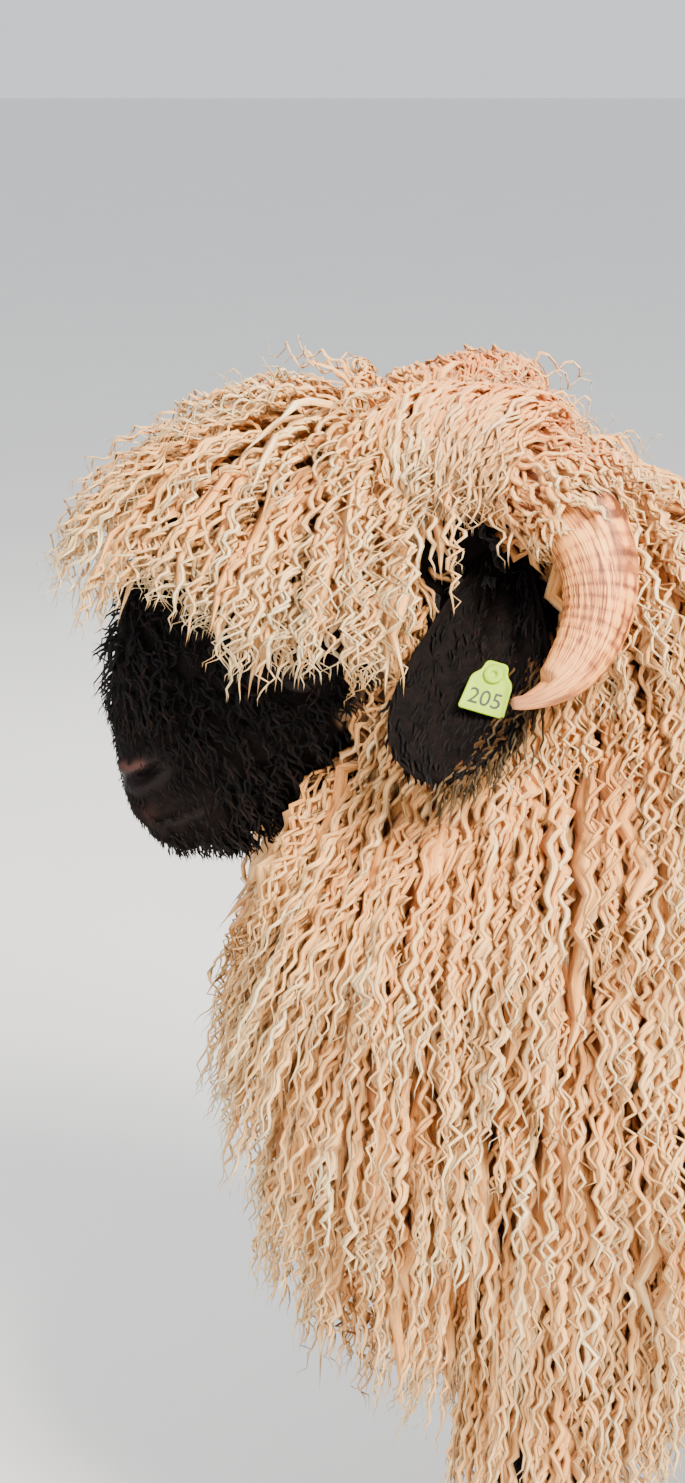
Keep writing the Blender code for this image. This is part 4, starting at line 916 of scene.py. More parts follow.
class Coat:
    """Gathers locks as closed tubes of few sides, then makes them into pieces of a bounded size."""

    def __init__(self, name, slot, material):
        self.name, self.slot, self.material = name, slot, material
        self.points, self.faces, self.tris, self.uvs, self.data, self.blocks = [], [], [], [], [], []
        self.count = 0

    def add(self, lines, outs, uv, width, thick, wave, period, tone, black, rings=24, sides=3, root=0.22, curl=0.0,
            taper=0.35, phase=None):
        """Tubes along the lines. A tube's middle swings across by wave * sin(2 pi * length / period + phase) and
        half as far outwards, growing from the root; curl adds a turn that widens to the tip. Its width is full
        from the root's share on and tapers to a point."""
        n = len(lines)
        if not n:
            return
        places = np.concatenate([[0.0, root * 0.7], np.linspace(root, 1.0, rings - 2)])
        middle, out = resample(lines, places), unit(resample(outs, places))
        along = unit(np.gradient(middle, axis=1))
        across = unit(np.cross(along, out))
        out = np.cross(across, along)
        run = np.concatenate([np.zeros((n, 1)), np.cumsum(np.linalg.norm(np.diff(middle, axis=1), axis=2), axis=1)], 1)
        col = lambda v: np.broadcast_to(np.asarray(v, float).reshape(-1, 1), (n, 1))
        phase = draw.uniform(0, 2 * math.pi, (n, 1)) if phase is None else col(phase)
        turn = 2 * math.pi * run / col(period) + phase
        sway = 0.75 + 0.35 * np.sin(turn / 3.6 + 2.3 * phase)
        turn = turn + 0.8 * np.sin(turn / 2.7 + 1.7 * phase)
        rise = smoothstep(0.0, root, places)[None]
        end = smoothstep(0.55, 1.0, places)[None] * col(curl)
        swing = col(wave) * rise * sway * np.sin(turn) + end * np.sin(turn * 0.83)
        lift = 0.8 * col(wave) * rise * sway * np.cos(turn + 0.6) + end * np.cos(turn * 0.83)
        middle = middle + across * swing[..., None] + out * lift[..., None]
        full = np.interp(places, [0, root, 0.5, 0.85, 1.0], [0.45, 1.0, 1.0, 1 - taper, 0.16])
        half_w, half_t = col(width) / 2 * full[None], col(thick) / 2 * full[None]
        corner = np.arange(sides) * 2 * math.pi / sides + math.pi / 2
        shell = (
            middle[:, :, None]
            + across[:, :, None] * (half_w[..., None] * np.cos(corner))[..., None]
            + out[:, :, None] * (half_t[..., None] * np.sin(corner))[..., None]
        )
        per = rings * sides
        base = self.count + np.arange(n)[:, None] * (per + 1)
        tip = middle[:, -1] + along[:, -1] * col(width)
        self.points.append(np.concatenate([shell.reshape(n, per, 3), tip[:, None]], 1).reshape(-1, 3))
        q = grid_faces(rings, sides)[:, ::-1]
        self.faces.append((base[:, :, None] + q[None]).reshape(-1, 4))
        k = np.arange(sides)
        last = (rings - 1) * sides
        fan = np.column_stack([last + (k + 1) % sides, last + k, np.full(sides, per)])
        cap = np.column_stack([np.zeros(sides - 2, int), np.arange(1, sides - 1), np.arange(2, sides)])
        self.tris.append((base[:, :, None] + np.concatenate([fan, cap])[None]).reshape(-1, 3))
        patch = np.meshgrid(places - 0.5, corner / (2 * math.pi) - 0.5, indexing="ij")
        patch = np.stack(patch, -1).reshape(-1, 2)
        patch = np.concatenate([patch, [[0.5, 0.0]]]) * UV_PATCH
        self.uvs.append((uv[:, None] + patch[None]).reshape(-1, 2))
        rows = np.concatenate([np.repeat(places, sides), [1.0]])
        tone, black = col(tone), col(black)
        edge = np.concatenate([np.tile(0.5 + 0.5 * np.cos(corner), rings), [0.5]])
        marks = [np.broadcast_to(v, (n, per + 1)) for v in (rows, tone, black, edge)]
        self.data.append(np.stack(marks, -1).reshape(-1, 4))
        self.count += n * (per + 1)
        self.blocks.append((n, per + 1, len(q), sides + sides - 2))

    def make(self, most=MOST_TRIANGLES):
        """Pieces of whole tubes, each of no more than most triangles."""
        first = 0
        piece = 1
        held, held_tris = [], 0
        for block, (n, size, quads, tris) in enumerate(self.blocks):
            per = 2 * quads + tris
            done = 0
            while done < n:
                room = max((most - held_tris) // per, 0)
                take = min(n - done, room)
                if take:
                    held.append((block, done, take, size, quads, tris, first))
                    held_tris += take * per
                    done += take
                if done < n or held_tris > most - per:
                    self.piece(piece, held)
                    piece, held, held_tris = piece + 1, [], 0
            first += n * size
        if held:
            self.piece(piece, held)

    def piece(self, number, held):
        points, faces, tris, uvs, data, base = [], [], [], [], [], 0
        for block, done, take, size, quads, tri_count, first in held:
            a, b = done * size, (done + take) * size
            points.append(self.points[block][a:b])
            uvs.append(self.uvs[block][a:b])
            data.append(self.data[block][a:b])
            shift = base - (first + a)
            faces.append(self.faces[block][done * quads : (done + take) * quads] + shift)
            tris.append(self.tris[block][done * tri_count : (done + take) * tri_count] + shift)
            base += b - a
        uvs, data = np.concatenate(uvs), np.concatenate(data)
        points, faces, tris = (np.concatenate(part) for part in (points, faces, tris))
        obj = mesh_object(f"{self.name}_{number}", points, faces, tris)
        for k, name in enumerate(("along", "tone", "black", "across")):
            give(obj, name, data[:, k])
        corners = np.empty(len(obj.data.loops), np.int32)
        obj.data.loops.foreach_get("vertex_index", corners)
        layer = obj.data.uv_layers.new(name="OFBake")
        layer.data.foreach_set("uv", np.clip(uvs[corners], 0, 1).astype(np.float32).ravel())
        finish_piece(obj, self.material)


def clear_of_head_parts(lines):
    """Whether a lock's line stays out of the horns' bare part and of the space before the ears' hollow side."""
    keep = np.ones(len(lines), bool)
    for _, side in SIDES:
        for share in np.linspace(HORN_BARE_FROM, 0.98, 18):
            radius = horn_radius(share) + 0.006
            keep &= (np.linalg.norm(lines - horn_line(share, side), axis=2) > radius).all(1)
        root, length, axis, wide, looks = ear_frame(side)
        d = lines - root
        a, w, h = d @ axis / length, d @ wide, d @ looks
        keep &= ~((a > 0.22) & (a < 1.02) & (np.abs(w) < 0.040) & (h > -0.008) & (h < 0.055)).any(1)
    return keep


def strands(coat, lines, outs, uv, count, width, wave, period, tone, black=0.0, rings=24, sides=3, root=0.3,
            spread=0.0035, curl=0.0, taper=0.35, jitter=0.6):
    """Lays count strands side by side along every line, as the staples of one lock, nearly in step."""
    n = len(lines)
    if not n:
        return
    across = unit(np.cross(unit(np.gradient(lines, axis=1)), outs))
    grow = np.linspace(0.3, 1, lines.shape[1])[None, :, None]
    tones, phase = np.clip(draw.normal(tone, 0.15, n), 0, 1), draw.uniform(0, 2 * math.pi, n)
    for _ in range(count):
        push, lift = draw.normal(0, spread, (2, n, 1, 1))
        w = width * draw.uniform(0.7, 1.3, n)
        moved = lines + (across * push + outs * lift * 0.7) * grow
        coat.add(moved, outs, uv, w, w * 0.42, wave * draw.uniform(0.7, 1.25, n), period * draw.uniform(0.85, 1.15, n),
                 np.clip(tones + draw.normal(0, 0.10, n), 0, 1), black, rings, sides, root=root, curl=curl,
                 phase=phase + draw.normal(0, jitter, n), taper=taper)


def hem(p):
    """The height where the fleece ends: it slants back under the breast and hangs to the knees."""
    return np.interp(p[..., 0], [-0.090, -0.069, -0.0155, 0.04, 0.07, 0.13, 0.25, 0.80, 0.90],
                     [0.390, 0.350, 0.250, 0.190, 0.170, 0.195, 0.290, 0.300, 0.330])


def body_wool(coat, under, tree):
    """The fleece of torso, neck, upper legs and tail, finer on the shoulders and neck."""

    def depth_of(name, p, n):
        breast = 0.026 * smoothstep(0.12, -0.02, p[:, 0])
        if name == "neck":
            ear = smoothstep(0.19, 0.13, p[:, 0]) * smoothstep(0.68, 0.76, p[:, 2])
            ear = ear * smoothstep(0.03, 0.05, np.abs(p[:, 1]))
            return 0.086 - 0.062 * ear + breast * smoothstep(0.66, 0.60, p[:, 2])
        if name == "torso":
            return 0.088 + breast - 0.022 * smoothstep(0.5, 0.95, n[:, 2]) - 0.040 * smoothstep(-0.45, -0.9, n[:, 2])
        return np.full(len(p), 0.030 if name == "tail" else 0.042)

    def locks(into, name, count, share_of, size, number, rings, tone, layer=(0.70, 1.02), root=0.42, spread=0.0035):
        swell = 0.060 if name in ("torso", "neck") else 0.020
        p, n, uv = sample(LOFTS[name], int(count / ROOTS_KEPT), share_of, swell)
        keep = np.nonzero(exposed(tree, p))[0]
        keep = keep[spread_out(p[keep] + n[keep] * swell)]
        p, n, uv = p[keep], n[keep], uv[keep]
        depth = depth_of(name, p, n)
        length, width, wave, period = size
        length = length * (0.5 + 0.5 * np.clip(depth / 0.085, 0, 1)) * draw.uniform(0.8, 1.2, len(p))
        free = smoothstep(0.1, -0.5, n[:, 2])
        side = np.sign(p[:, 1:2] + draw.normal(0, 0.014, (len(p), 1)))
        crown = smoothstep(0.84, 0.99, n[:, 2:3])
        slope = side * ACROSS * np.maximum(0.0, n[:, 2:3]) * (1.3 - crown * draw.uniform(0.2, 1.3, (len(p), 1)))
        lies = DOWN * (1 - crown) + slope + np.array([0.10, 0, 0]) + np.array([0.6, 0, 0]) * crown
        lies = lies + draw.normal(0, 0.10, lies.shape)
        lift = 0.75 + 0.70 * smoothstep(0.06, 0.0, p[:, :1]) * (p[:, 2:3] < 0.72)
        levels, hug = depth * draw.uniform(*layer, len(p)), 0.8 * (1 - free)[:, None]
        lines, outs = comb(tree, p, n, lies, length, levels, lift, 14.0, hug)
        lines, outs, keep = cut(lines, outs, hem)
        fallen = lines[:, 2, 2] - lines[:, -1, 2] > 0.35 * length[keep]
        crest = np.interp(lines[..., 0], [0.12, 0.162, 0.209, 0.30, 0.90], [0.950, 0.918, 0.872, 0.862, 0.860])
        clear = clear_of_head_parts(lines) & (fallen | (n[keep][:, 2] > 0.3)) & (lines[..., 2] < crest).all(1)
        strands(into, lines[clear], outs[clear], uv[keep][clear], number, width, wave, period, tone,
                black_share(p[keep][clear]), rings, root=root, spread=spread)

    everywhere = lambda p, n: np.ones(len(p))
    fore = lambda p, n: 1.0 * (p[:, 0] < 0.30)
    rear = lambda p, n: (p[:, 0] >= 0.30) * (1 - 0.6 * (n[:, 2] < -0.6))
    thigh = lambda p, n: 1.0 * (p[:, 2] > THIGH_END)
    # Each kind of lock: length, width, wave and period.
    fine, broad, below = (0.125, 0.0054, 0.0042, 0.0200), (0.145, 0.0092, 0.0055, 0.028), (0.120, 0.0160, 0.0060, 0.040)
    short, leg, tail = (0.095, 0.0080, 0.0045, 0.024), (0.190, 0.0064, 0.0036, 0.022), (0.170, 0.0075, 0.0035, 0.026)
    # The undercoat's locks sit deep and get a low tone, so they show dark brown between the strands: painted shade in
    # the gaps of the fleece.
    locks(under, "torso", 1500, everywhere, below, 1, 7, 0.12, (0.45, 0.70), 0.30)
    locks(under, "neck", 700, everywhere, below, 1, 7, 0.12, (0.45, 0.70), 0.30)
    locks(coat, "neck", 1300, everywhere, fine, 2, 24, 0.54, root=0.20, spread=0.0045)
    locks(coat, "torso", 3500, fore, fine, 2, 24, 0.54, root=0.24, spread=0.0045)
    locks(coat, "torso", 1450, rear, broad, 2, 17, 0.52, spread=0.006)
    ridge_line = lambda p, n: 1.0 * (n[:, 2] > 0.93)
    for name, count in (("torso", 2600), ("neck", 900)):
        locks(coat, name, count, ridge_line, short, 2, 14, 0.52, (0.45, 0.95), root=0.20, spread=0.006)
    for name in LOFTS:
        if name.startswith("leg"):
            locks(coat, name, 760, thigh, leg, 2, 16, 0.45, root=0.25)
    locks(coat, "tail", 240, everywhere, tail, 3, 18, 0.50, root=0.25)


def brow(p):
    """The height of the mop's lower edge: over the brow in front, down to the eye, up again before the horn."""
    edge = [(-0.181, 0.830), (-0.153, 0.808), (-0.120, 0.838), (-0.095, 0.828), (-0.075, 0.812), (-0.063, 0.780),
            (-0.045, 0.788), (-0.007, 0.798), (0.027, 0.790), (0.050, 0.802), (0.072, 0.826), (0.091, 0.832),
            (0.111, 0.838), (0.143, 0.872)]
    return np.interp(p[..., 0], *zip(*edge))


def forelock(coat, under, tree):
    """The mop of the crown, which rises and falls outwards all round, longest over the brow, with curled ends."""
    middle = np.array([0.030, 0.0, 0.90])

    def mop(p, n):
        away = (p - middle) / [0.122, 0.080, 1.0]
        return 1.0 * (away[:, 0] ** 2 + away[:, 1] ** 2 < 1) * (p[:, 2] > 0.842)

    # The undercoat's locks here get a low tone too: painted shade between the mop's strands.
    kinds = ((under, 1000, 1, 7, 0.009, 0.6, 0.30), (coat, 2350, 2, 27, 0.0048, 1.0, 0.66))
    for into, count, number, rings, width, layer, tone in kinds:
        p, n, uv = sample(LOFTS["head"], int(count / ROOTS_KEPT), mop, 0.03)
        keep = spread_out(p)
        p, n, uv = p[keep], n[keep], uv[keep]
        away = p - middle
        lies = away * [1.25, 1.6, 0]
        lies = unit(lies + draw.normal(0, 0.012, (len(p), 3)))
        front = smoothstep(0.0, -0.07, p[:, 0]) * np.maximum(0.0, -lies[:, 0])
        flank = smoothstep(0.015, 0.050, np.abs(p[:, 1])) * (p[:, 0] < 0.09)
        lies = lies + draw.normal(0, 0.20, lies.shape)
        length = (0.072 + 0.052 * front + 0.046 * flank) * draw.uniform(0.80, 1.20, len(p))
        lines, outs = comb(tree, p, n, lies, length, draw.uniform(0.018, 0.056, len(p)) * layer, 0.8, 20.0, 0.0)
        lines, outs, keep = cut(lines, outs, brow)
        clear = clear_of_head_parts(lines) & (lines[..., 2].max(1) < MOP_TOP)
        lines, outs, uv = lines[clear], outs[clear], uv[keep][clear]
        curl = np.where(draw.random(len(lines)) < 0.6, 0.0060, 0.0020) * (number > 1)
        strands(into, lines, outs, uv, number, width, 0.0044, 0.0165, tone, 0.0, rings, root=0.12, curl=curl,
                spread=0.0045, jitter=1.0)

    p, n, uv = sample(LOFTS["head"], 1500, lambda p, n: (black_share(p) < 0.5) * (p[:, 2] < 0.865), 0.01)
    keep = exposed(tree, p)
    p, n, uv = p[keep], n[keep], uv[keep]
    lies = DOWN + np.array([0.25, 0, 0]) + draw.normal(0, 0.25, p.shape)
    ear = ear_distance(p)
    room = np.maximum(ear * 0.9 - 0.016, np.where(p[:, 0] < 0.045, 0.022, 0.012))
    length = np.minimum(draw.uniform(0.035, 0.070, len(p)), room)
    lines, outs = comb(tree, p, n, lies, length, length * draw.uniform(0.20, 0.34, len(p)), 0.8, 9.0, 0.6)
    black = smoothstep(0.050, 0.044, ear)
    strands(coat, lines, outs, uv, 2, 0.0036, 0.0036, 0.0155, 0.42, black, 15, root=0.14, curl=0.003)


def horn_wool(coat):
    """Locks that climb from the crown over each horn's root and hang down its outer side, and short matted wool
    that lies along the root itself."""
    for _, side in SIDES:
        count = 170
        share = draw.uniform(-0.06, 0.34, count)
        off = HORN_RADIUS + draw.uniform(0.004, 0.016, count)
        ends = np.radians(draw.uniform(60, 118, count))
        middle = horn_line(share, side)
        along, away, deep = horn_frame(share, side)
        outward = deep * np.sign(deep[:, 1:2] * side)
        turn = np.radians(-40) + (ends[:, None] + np.radians(40)) * np.linspace(0, 1, 11)[None]
        ring = away[:, None] * np.cos(turn)[..., None] + outward[:, None] * np.sin(turn)[..., None]
        start = np.stack([middle[:, 0], side * draw.uniform(0.004, 0.02, count), np.full(count, 0.900)], -1)
        lines = np.concatenate([start[:, None], middle[:, None] + ring * off[:, None, None]], 1)
        lines[:, 1:] += (np.linspace(0, 1, 11)[None, :, None] ** 2) * DOWN * draw.uniform(0.0, 0.02, (count, 1, 1))
        outs = np.concatenate([ring[:, :1], ring], 1)
        uv = LOFTS["head"].unwrap(draw.uniform(0.05, 0.25, count), side * draw.uniform(0.0, 0.5, count))
        strands(coat, lines, outs, uv, 3, 0.0048, 0.0036, 0.0175, 0.62, 0.0, 22, root=0.14, curl=0.004)

        count = 700
        t = np.linspace(0, 1, 8)[None]
        share = draw.uniform(-0.08, 0.47, count)[:, None] + draw.uniform(0.05, 0.09, count)[:, None] * t
        around = draw.uniform(0, 2 * math.pi, count)[:, None] + draw.normal(0, 0.35, count)[:, None] * t
        middle = horn_line(share, side)
        along, away, deep = horn_frame(share, side)
        outs = away * np.cos(around)[..., None] + deep * np.sin(around)[..., None]
        off = HORN_RADIUS * 0.95 - 0.002 + 0.010 * np.sqrt(t) * draw.uniform(0.3, 1.0, (count, 1))
        lines = middle + outs * off[..., None]
        uv = LOFTS["head"].unwrap(draw.uniform(0.05, 0.25, count), side * draw.uniform(0.0, 0.5, count))
        strands(coat, lines, outs, uv, 1, 0.0050, 0.0020, 0.012, 0.55, 0.0, 10, root=0.16)


def face_wool(coat, tree):
    """Short curly black tufts of the face, smallest round the mouth and the eyes, and of the lower legs."""
    snout = lambda p: np.linalg.norm(folded(p) - MUZZLE, axis=1)
    for count, near, rings in ((4200, 9.0, 7), (4600, 0.075, 5)):
        p, n, uv = sample(LOFTS["head"], count, lambda p, n: (black_share(p) > 0.4) * (snout(p) < near))
        keep = exposed(tree, p)
        p, n, uv = p[keep], n[keep], uv[keep]
        m = folded(p)
        muzzle = smoothstep(0.085, 0.035, snout(p))
        bare = np.minimum(line_distance(m, NOSTRIL)[0] - 0.007, line_distance(m, MOUTH)[0] - 0.004)
        eye = np.linalg.norm(m - (EYE + [0, 0.010, 0]), axis=1) - 0.020
        keep = (bare > 0) & (eye > 0)
        p, n, uv, muzzle = p[keep], n[keep], uv[keep], muzzle[keep]
        lies = DOWN * 0.7 + np.array([0.5, 0, 0]) + draw.normal(0, 0.45 - 0.25 * muzzle[:, None], p.shape)
        length = (0.020 - 0.014 * muzzle) * draw.uniform(0.7, 1.3, len(p))
        levels = (0.0068 - 0.0056 * muzzle) * draw.uniform(0.6, 1.2, len(p))
        lines, outs = comb(tree, p, n, lies, length, levels, 0.6, 6.0, 0.5, steps=6)
        coat.add(lines, outs, uv, 0.0027 - 0.0013 * muzzle, 0.0013 - 0.0006 * muzzle, 0.0022 - 0.0019 * muzzle, 0.0085,
                 draw.uniform(0, 1, len(p)), 1.0, rings=rings, root=0.12, taper=0.3)

    def over_eye(p, n):
        level = (p[:, 2] > 0.788) * (p[:, 2] < 0.835)
        return (black_share(p) > 0.3) * level * (np.abs(p[:, 1]) > 0.035) * (p[:, 0] > -0.075)

    p, n, uv = sample(LOFTS["head"], 2600, over_eye)
    lies = DOWN + np.array([0.15, 0, 0]) + draw.normal(0, 0.25, p.shape)
    length, levels = draw.uniform(0.022, 0.042, len(p)), draw.uniform(0.006, 0.014, len(p))
    lines, outs = comb(tree, p, n, lies, length, levels, 0.8, 10.0, 0.3)
    strands(coat, lines, outs, uv, 1, 0.0030, 0.0028, 0.0110, 0.6, 1.0, 14, root=0.12, curl=0.003)
    for name, loft in LOFTS.items():
        if name.startswith("leg"):
            p, n, uv = sample(loft, 640, lambda p, n: 1.0 * (p[:, 2] < 0.31) * (p[:, 2] > 0.046))
            lies = DOWN + draw.normal(0, 0.18, p.shape)
            length, levels = draw.uniform(0.010, 0.022, len(p)), draw.uniform(0.0014, 0.004, len(p))
            lines, outs = comb(tree, p, n, lies, length, levels, 0.4, 4.0, 0.5, steps=4)
            coat.add(lines, outs, uv, 0.0034, 0.0014, 0.0008, 0.012, draw.uniform(0, 1, len(p)), black_share(p),
                     rings=5, root=0.15, taper=0.3)


def ear_wool(coat):
    """Small tufts all over the ears, and longer curls with pale ends along the lower rear edge."""
    for word, side in SIDES:
        u0, v0, u1, v1 = TILES["ear_" + word]
        rear = np.sign(ear_frame(side)[3][0])
        for count, size, edge in ((620, (0.010, 0.0022), False), (130, (0.021, 0.0026), True)):
            share = draw.uniform(0.08, 0.97, count) if not edge else draw.uniform(0.45, 0.98, count)
            across = draw.uniform(-0.97, 0.97, count) if not edge else rear * draw.uniform(0.45, 0.97, count)
            face = draw.choice([-1.0, 1.0], count)
            middle = ear_sheet(side, share, across)
            axis, looks = ear_frame(side)[2], ear_frame(side)[4]
            tangent = unit(ear_sheet(side, share + 0.01, across) - ear_sheet(side, share - 0.01, across))
            right, left = (ear_sheet(side, share, np.clip(across + d, -1, 1)) for d in (0.02, -0.02))
            over = unit(right - left)
            out = unit(np.cross(tangent, over))
            out = out * np.sign(dot(out, looks)) * face[:, None]
            lie = unit(tangent + DOWN * 0.6 + draw.normal(0, 0.30, (count, 3)))
            length = size[0] * draw.uniform(0.6, 1.3, count)[:, None, None]
            t = np.linspace(0, 1, 7)[None, :, None]
            lines = middle[:, None] + out[:, None] * (EAR_THICKNESS * 0.42 + 0.0022 * np.sin(math.pi * t))
            lines = lines + lie[:, None] * t * length
            lines = lines + DOWN * (t * length) * t * (0.5 if edge else 0.1)
            outs = np.broadcast_to(out[:, None], lines.shape)
            uv = np.column_stack([u0 + (u1 - u0) * share, v0 + (v1 - v0) * (0.5 + 0.45 * across)])
            coat.add(lines, outs, uv, size[1], size[1] * 0.5, 0.0022 if edge else 0.0008, 0.012,
                     draw.uniform(0.2, 1.0, count), 0.88 if edge else 1.0,
                     rings=10 if edge else 6, root=0.12, taper=0.3)


# Horns, eyes, tag and claws


def make_horns(material):
    for word, side in SIDES:
        points, share, angle = horn_grid(side, 240, 44)
        if side == -1:
            chip = smoothstep(0.872, 0.878, share) - smoothstep(0.90, 0.985, share)
            inner = smoothstep(-0.2, -0.8, np.cos(angle)) * chip
            out = unit(points - points.mean(1, keepdims=True))
            points = points - out * (0.0075 * inner)[..., None]
        obj = closed_grid("horn_" + word, points)
        p, line = vertices_of(obj), horn_line(np.linspace(0, 1, 200), side)
        nearest_share = np.linalg.norm(p[:, None] - line[None], axis=2).argmin(1) / 199
        along, away, deep = horn_frame(nearest_share, side)
        d = p - horn_line(nearest_share, side)
        turn = np.arctan2((d * deep).sum(1), (d * away).sum(1))
        give(obj, "along", nearest_share)
        give(obj, "round", 0.5 + 0.5 * np.cos(turn) + 0.3 * np.sin(turn))
        # groove marks the grooves between the rings, which the horn's finish darkens as painted shade.
        give(obj, "groove", (1 - horn_ridges(nearest_share, turn)) * smoothstep(0.95, 0.7, nearest_share))
        finish_piece(obj, material, ["horn_" + word])


def make_eyes(material):
    """Balls with a slightly raised clear front; iris and pupil are marked round the way the eye looks."""
    for word, side in SIDES:
        look, level = eye_frame(side)
        up = np.cross(level, look)
        turn = np.linspace(0, 2 * math.pi, 64, endpoint=False)
        polar, turn = np.meshgrid(np.linspace(0.02, math.pi - 0.02, 48), turn, indexing="ij")
        round_ = level * np.cos(turn)[..., None] + up * np.sin(turn)[..., None]
        ray = look * np.cos(polar)[..., None] + round_ * np.sin(polar)[..., None]
        radius = EYE_RADIUS - 0.0004 + 0.0006 * smoothstep(0.62, 0.30, polar)
        obj = closed_grid("eye_" + word, EYE * [1, side, 1] + ray * radius[..., None])
        d = unit(vertices_of(obj) - EYE * [1, side, 1])
        a, b, c = d @ look, d @ level, d @ up
        give(obj, "iris", smoothstep(0.60, 0.54, np.arccos(np.clip(a, -1, 1))))
        bar = np.maximum(np.abs(b) - 0.22, 0) ** 2 + (c * 1.0) ** 2
        give(obj, "pupil", smoothstep(0.115, 0.095, np.sqrt(bar)) * (a > 0))
        finish_piece(obj, material, ["eye_" + word])


def tag_frame():
    spot = ear_sheet(-1, np.array(TAG_ALONG), np.array(TAG_ACROSS))
    out = unit(ear_frame(-1)[4] + np.array([0.0, -0.3, 0.0]))
    up = unit(-DOWN - out * -DOWN.dot(out))
    up = up * math.cos(TAG_TURN) + np.cross(out, up) * math.sin(TAG_TURN)
    return spot, unit(np.cross(up, out)), up, out


def rounded_outline(corners, radii, steps=7):
    """A closed outline whose corners are turned into arcs by quadratic curves."""
    corners = np.array(corners, float)
    before, after = np.roll(corners, 1, 0), np.roll(corners, -1, 0)
    r = np.array(radii)[:, None]
    a, b = corners + unit(before - corners) * r, corners + unit(after - corners) * r
    t = np.linspace(0, 1, steps)[None, :, None]
    return ((1 - t) ** 2 * a[:, None] + 2 * t * (1 - t) * corners[:, None] + t**2 * b[:, None]).reshape(-1, 2)


def make_tag(plate_finish, pin_finish, ink):
    """The plate with a narrow neck round the pin's hole, the pin with its round head, and plain digits."""
    spot, right, up, out = tag_frame()
    corners = [(-0.0065, 0.0080), (0.0065, 0.0080), (0.0078, 0.0015), (0.0125, -0.0030), (0.0138, -0.024),
               (-0.0138, -0.024), (-0.0125, -0.0030), (-0.0078, 0.0015)]
    outline = rounded_outline(corners, [0.003, 0.003, 0.002, 0.003, 0.002, 0.002, 0.003, 0.002])
    hub = np.array([0.0, -0.008])

    def ring(inset, level):
        flat = outline - unit(outline - hub) * inset
        return spot + flat[:, :1] * right + flat[:, 1:] * up + level * out

    low, high = TAG_OFF, TAG_OFF + TAG_THICKNESS
    profile = [(0.0045, low), (0.0006, low), (0.0, low + 0.0005), (0.0, high - 0.0005), (0.0005, high),
               (0.0016, high), (0.0021, high - 0.0004), (0.0045, high - 0.0004)]
    plate = closed_grid("ear_tag_plate_fine", np.array([ring(*row) for row in profile]))
    finish_piece(plate, plate_finish, ["ear_tag_plate"])

    turn = np.linspace(0, 2 * math.pi, 40, endpoint=False)
    circle = np.cos(turn)[:, None] * right + np.sin(turn)[:, None] * up
    back = -0.0060
    profile = [(0.0006, back - 0.0025), (0.0078, back - 0.0025), (0.0085, back - 0.0018), (0.0085, back - 0.0006),
               (0.0078, back), (0.0021, back), (0.0021, low - 0.0006), (0.0021, high + 0.0002), (0.0052, high + 0.0003),
               (0.0058, high + 0.0009), (0.0050, high + 0.0016), (0.0026, high + 0.0018), (0.0019, high + 0.0012),
               (0.0016, high - 0.0010), (0.0004, high - 0.0012)]
    points = np.array([spot + circle * r + out * h for r, h in profile])
    stud = closed_grid("ear_tag_stud_fine", points)
    finish_piece(stud, pin_finish, ["ear_tag_stud"])

    text = bpy.data.curves.new("digits", "FONT")
    text.body, text.size, text.extrude, text.align_x = "205", 0.0135, 0.00020, "CENTER"
    text.resolution_u = 6
    line = bpy.data.objects.new("digits", text)
    bpy.context.scene.collection.objects.link(line)
    bpy.context.view_layer.update()
    mesh = bpy.data.meshes.new_from_object(line.evaluated_get(bpy.context.evaluated_depsgraph_get()))
    bpy.data.objects.remove(line)
    digits = bpy.data.objects.new("ear_tag_digits", mesh)
    bpy.context.scene.collection.objects.link(digits)
    flat = np.array([v.co for v in mesh.vertices])
    placed = spot + flat[:, :1] * right + (flat[:, 1:2] - 0.0195) * up + (high - 0.00030 + flat[:, 2:3]) * out
    placed[:, 0] -= BREAST_TO_MIDDLE
    mesh.vertices.foreach_set("co", placed.astype(np.float32).ravel())
    mesh.update()
    finish_piece(digits, ink)
    digits.data.shade_flat()


# Outlines of a claw from the ground up: height, toe, heel, half width.
HOOF = [
    (0.0, 0.0000, 0.0560, 0.0098),
    (0.0012, -0.0005, 0.0568, 0.0106),
    (0.010, 0.0012, 0.0565, 0.0108),
    (0.024, 0.0050, 0.0545, 0.0107),
    (0.034, 0.0085, 0.0530, 0.0104),
    (0.0392, 0.0110, 0.0515, 0.0094),
]


def make_claws(material):
    """Each toe's hoof: an upright stack of rounded outlines, flat below, sloping back and up from the toe."""
    for place, front in (("front", 0.102), ("hind", 0.782)):
        for word, side in SIDES:
            for part, inner in (("inner", -side), ("outer", side)):
                middle = side * LEG_SPREAD[place] + inner * 0.013
                turn = np.linspace(0, 2 * math.pi, 48, endpoint=False)
                rings = []
                for height, toe, heel, half in HOOF:
                    x = np.cos(turn)
                    along = np.sign(x) * np.abs(x) ** 0.8
                    narrow = 1 - 0.42 * smoothstep(0.1, -1.0, along) * (1 - height / 0.06)
                    across = np.sign(np.sin(turn)) * np.abs(np.sin(turn)) ** 0.72
                    px = front - 0.012 + (toe + heel) / 2 + along * (heel - toe) / 2
                    py = middle - inner * 0.0108 + inner * (across + 1) * half * narrow
                    bands = 0.0003 * math.sin(height * 900)
                    rings.append(np.column_stack([px + bands, py, np.full(48, height)]))
                name = f"claw_{place}_{word}_{part}"
                finish_piece(closed_grid(name + "_fine", np.array(rings)), material, [name])


# The whole animal

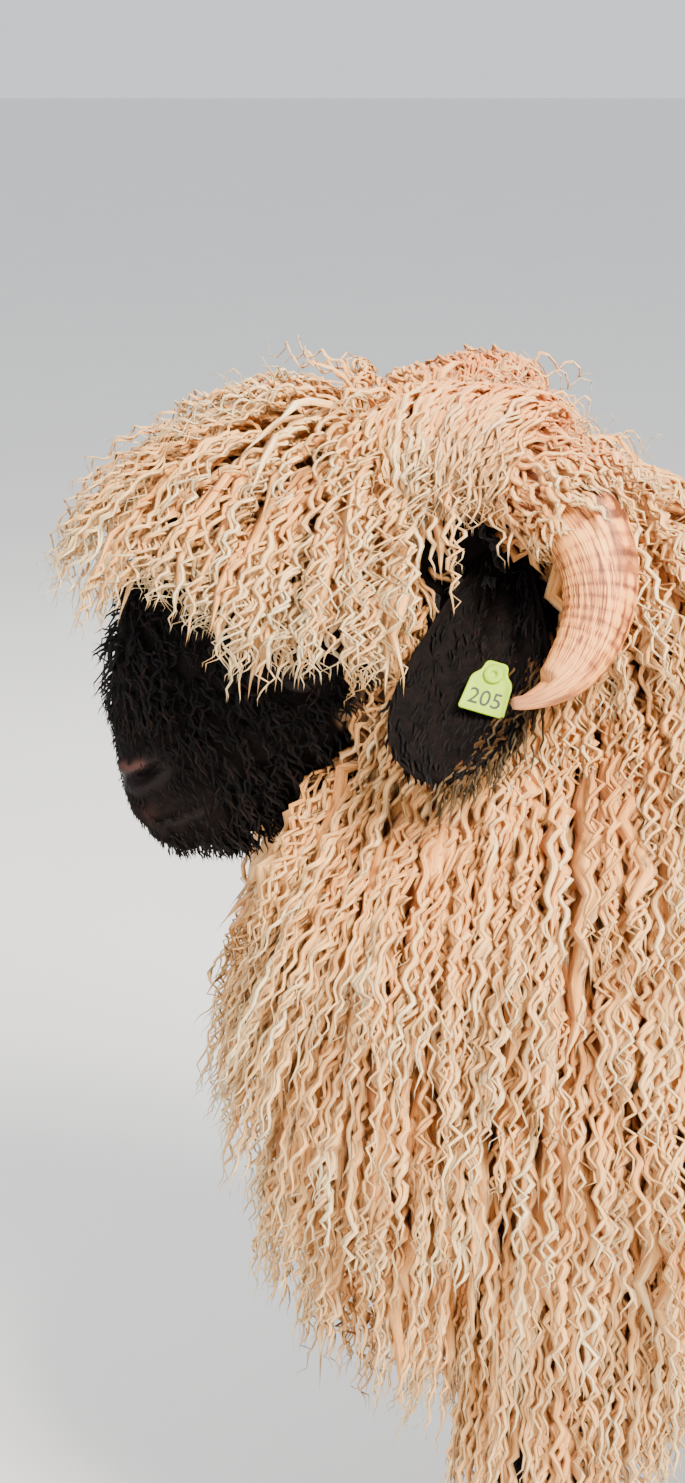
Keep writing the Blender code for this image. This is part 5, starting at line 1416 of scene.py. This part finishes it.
wool, black_wool = wool_finish("wool", 0.12, 0.30), wool_finish("black_wool", 0.0, 0.18)
skin = finish_piece(make_skin(), skin_finish(), ["head", "neck", "torso", "tail", "ear_left", "ear_right"]
                    + [f"leg_{place}_{word}" for place in ("front", "hind") for word, _ in SIDES])
make_horns(horn_finish())
make_eyes(eye_finish())
TAG_COLOURS = {"tag_plate": (0.36, 0.58, 0.001), "tag_pin": (0.33, 0.54, 0.001), "tag_ink": (0.03, 0.04, 0.03)}
make_tag(*(tag_finish(name, colour, 0.5) for name, colour in TAG_COLOURS.items()))
make_claws(hoof_finish())

tree = guide_tree()
fleece, shade_undercoat = Coat("fleece", "fleece", wool), Coat("shade_undercoat", "fleece", wool)
mop, short = Coat("forelock", "fleece", wool), Coat("short_wool", "black_wool", black_wool)
body_wool(fleece, shade_undercoat, tree)
forelock(mop, shade_undercoat, tree)
horn_wool(mop)
face_wool(short, tree)
ear_wool(short)
for coat in (fleece, shade_undercoat, mop, short):
    coat.make()

corners = [(x * FLOOR_REACH, y * FLOOR_REACH, 0) for x, y in ((-1, -1), (1, -1), (1, 1), (-1, 1))]
floor = mesh_object("floor", corners, [(0, 1, 2, 3)])
floor.data.materials.append(floor_finish())

world = bpy.data.worlds.new("studio")
bpy.context.scene.world = world
world.use_nodes = True
world.node_tree.nodes["Background"].inputs["Color"].default_value = WORLD_COLOUR
world.node_tree.nodes["Background"].inputs["Strength"].default_value = WORLD_STRENGTH


def area_light(name, place, target, size, power, colour):
    light = bpy.data.lights.new(name, "AREA")
    light.shape, light.size, light.energy, light.color = "DISK", size, power, colour
    obj = bpy.data.objects.new(name, light)
    obj.location = place
    obj.rotation_euler = (Vector(target) - Vector(place)).to_track_quat("-Z", "Y").to_euler()
    bpy.context.scene.collection.objects.link(obj)


area_light("key", (0.9, -2.3, 3.1), (-0.2, 0.0, 0.6), 1.2, 480.0, (1.0, 0.92, 0.79))
area_light("fill", (-2.6, -1.6, 1.6), (-0.2, 0.0, 0.6), 2.2, 26.0, (0.90, 0.95, 1.0))
area_light("rim", (-0.8, 2.4, 2.4), (-0.2, 0.0, 0.7), 1.4, 60.0, (1.0, 0.97, 0.92))

camera_data = bpy.data.cameras.new("camera")
camera_data.lens = FOCAL_PIXELS / PHOTO_HEIGHT * SENSOR
camera_data.sensor_width = SENSOR
camera_data.clip_start = 0.05
camera = bpy.data.objects.new("camera", camera_data)
camera.location = (-BREAST_TO_MIDDLE, -CAMERA_AWAY, CAMERA_HEIGHT)
camera.rotation_euler = (math.radians(90 - CAMERA_PITCH), 0, 0)
bpy.context.scene.collection.objects.link(camera)
bpy.context.scene.camera = camera

bpy.context.view_layer.update()
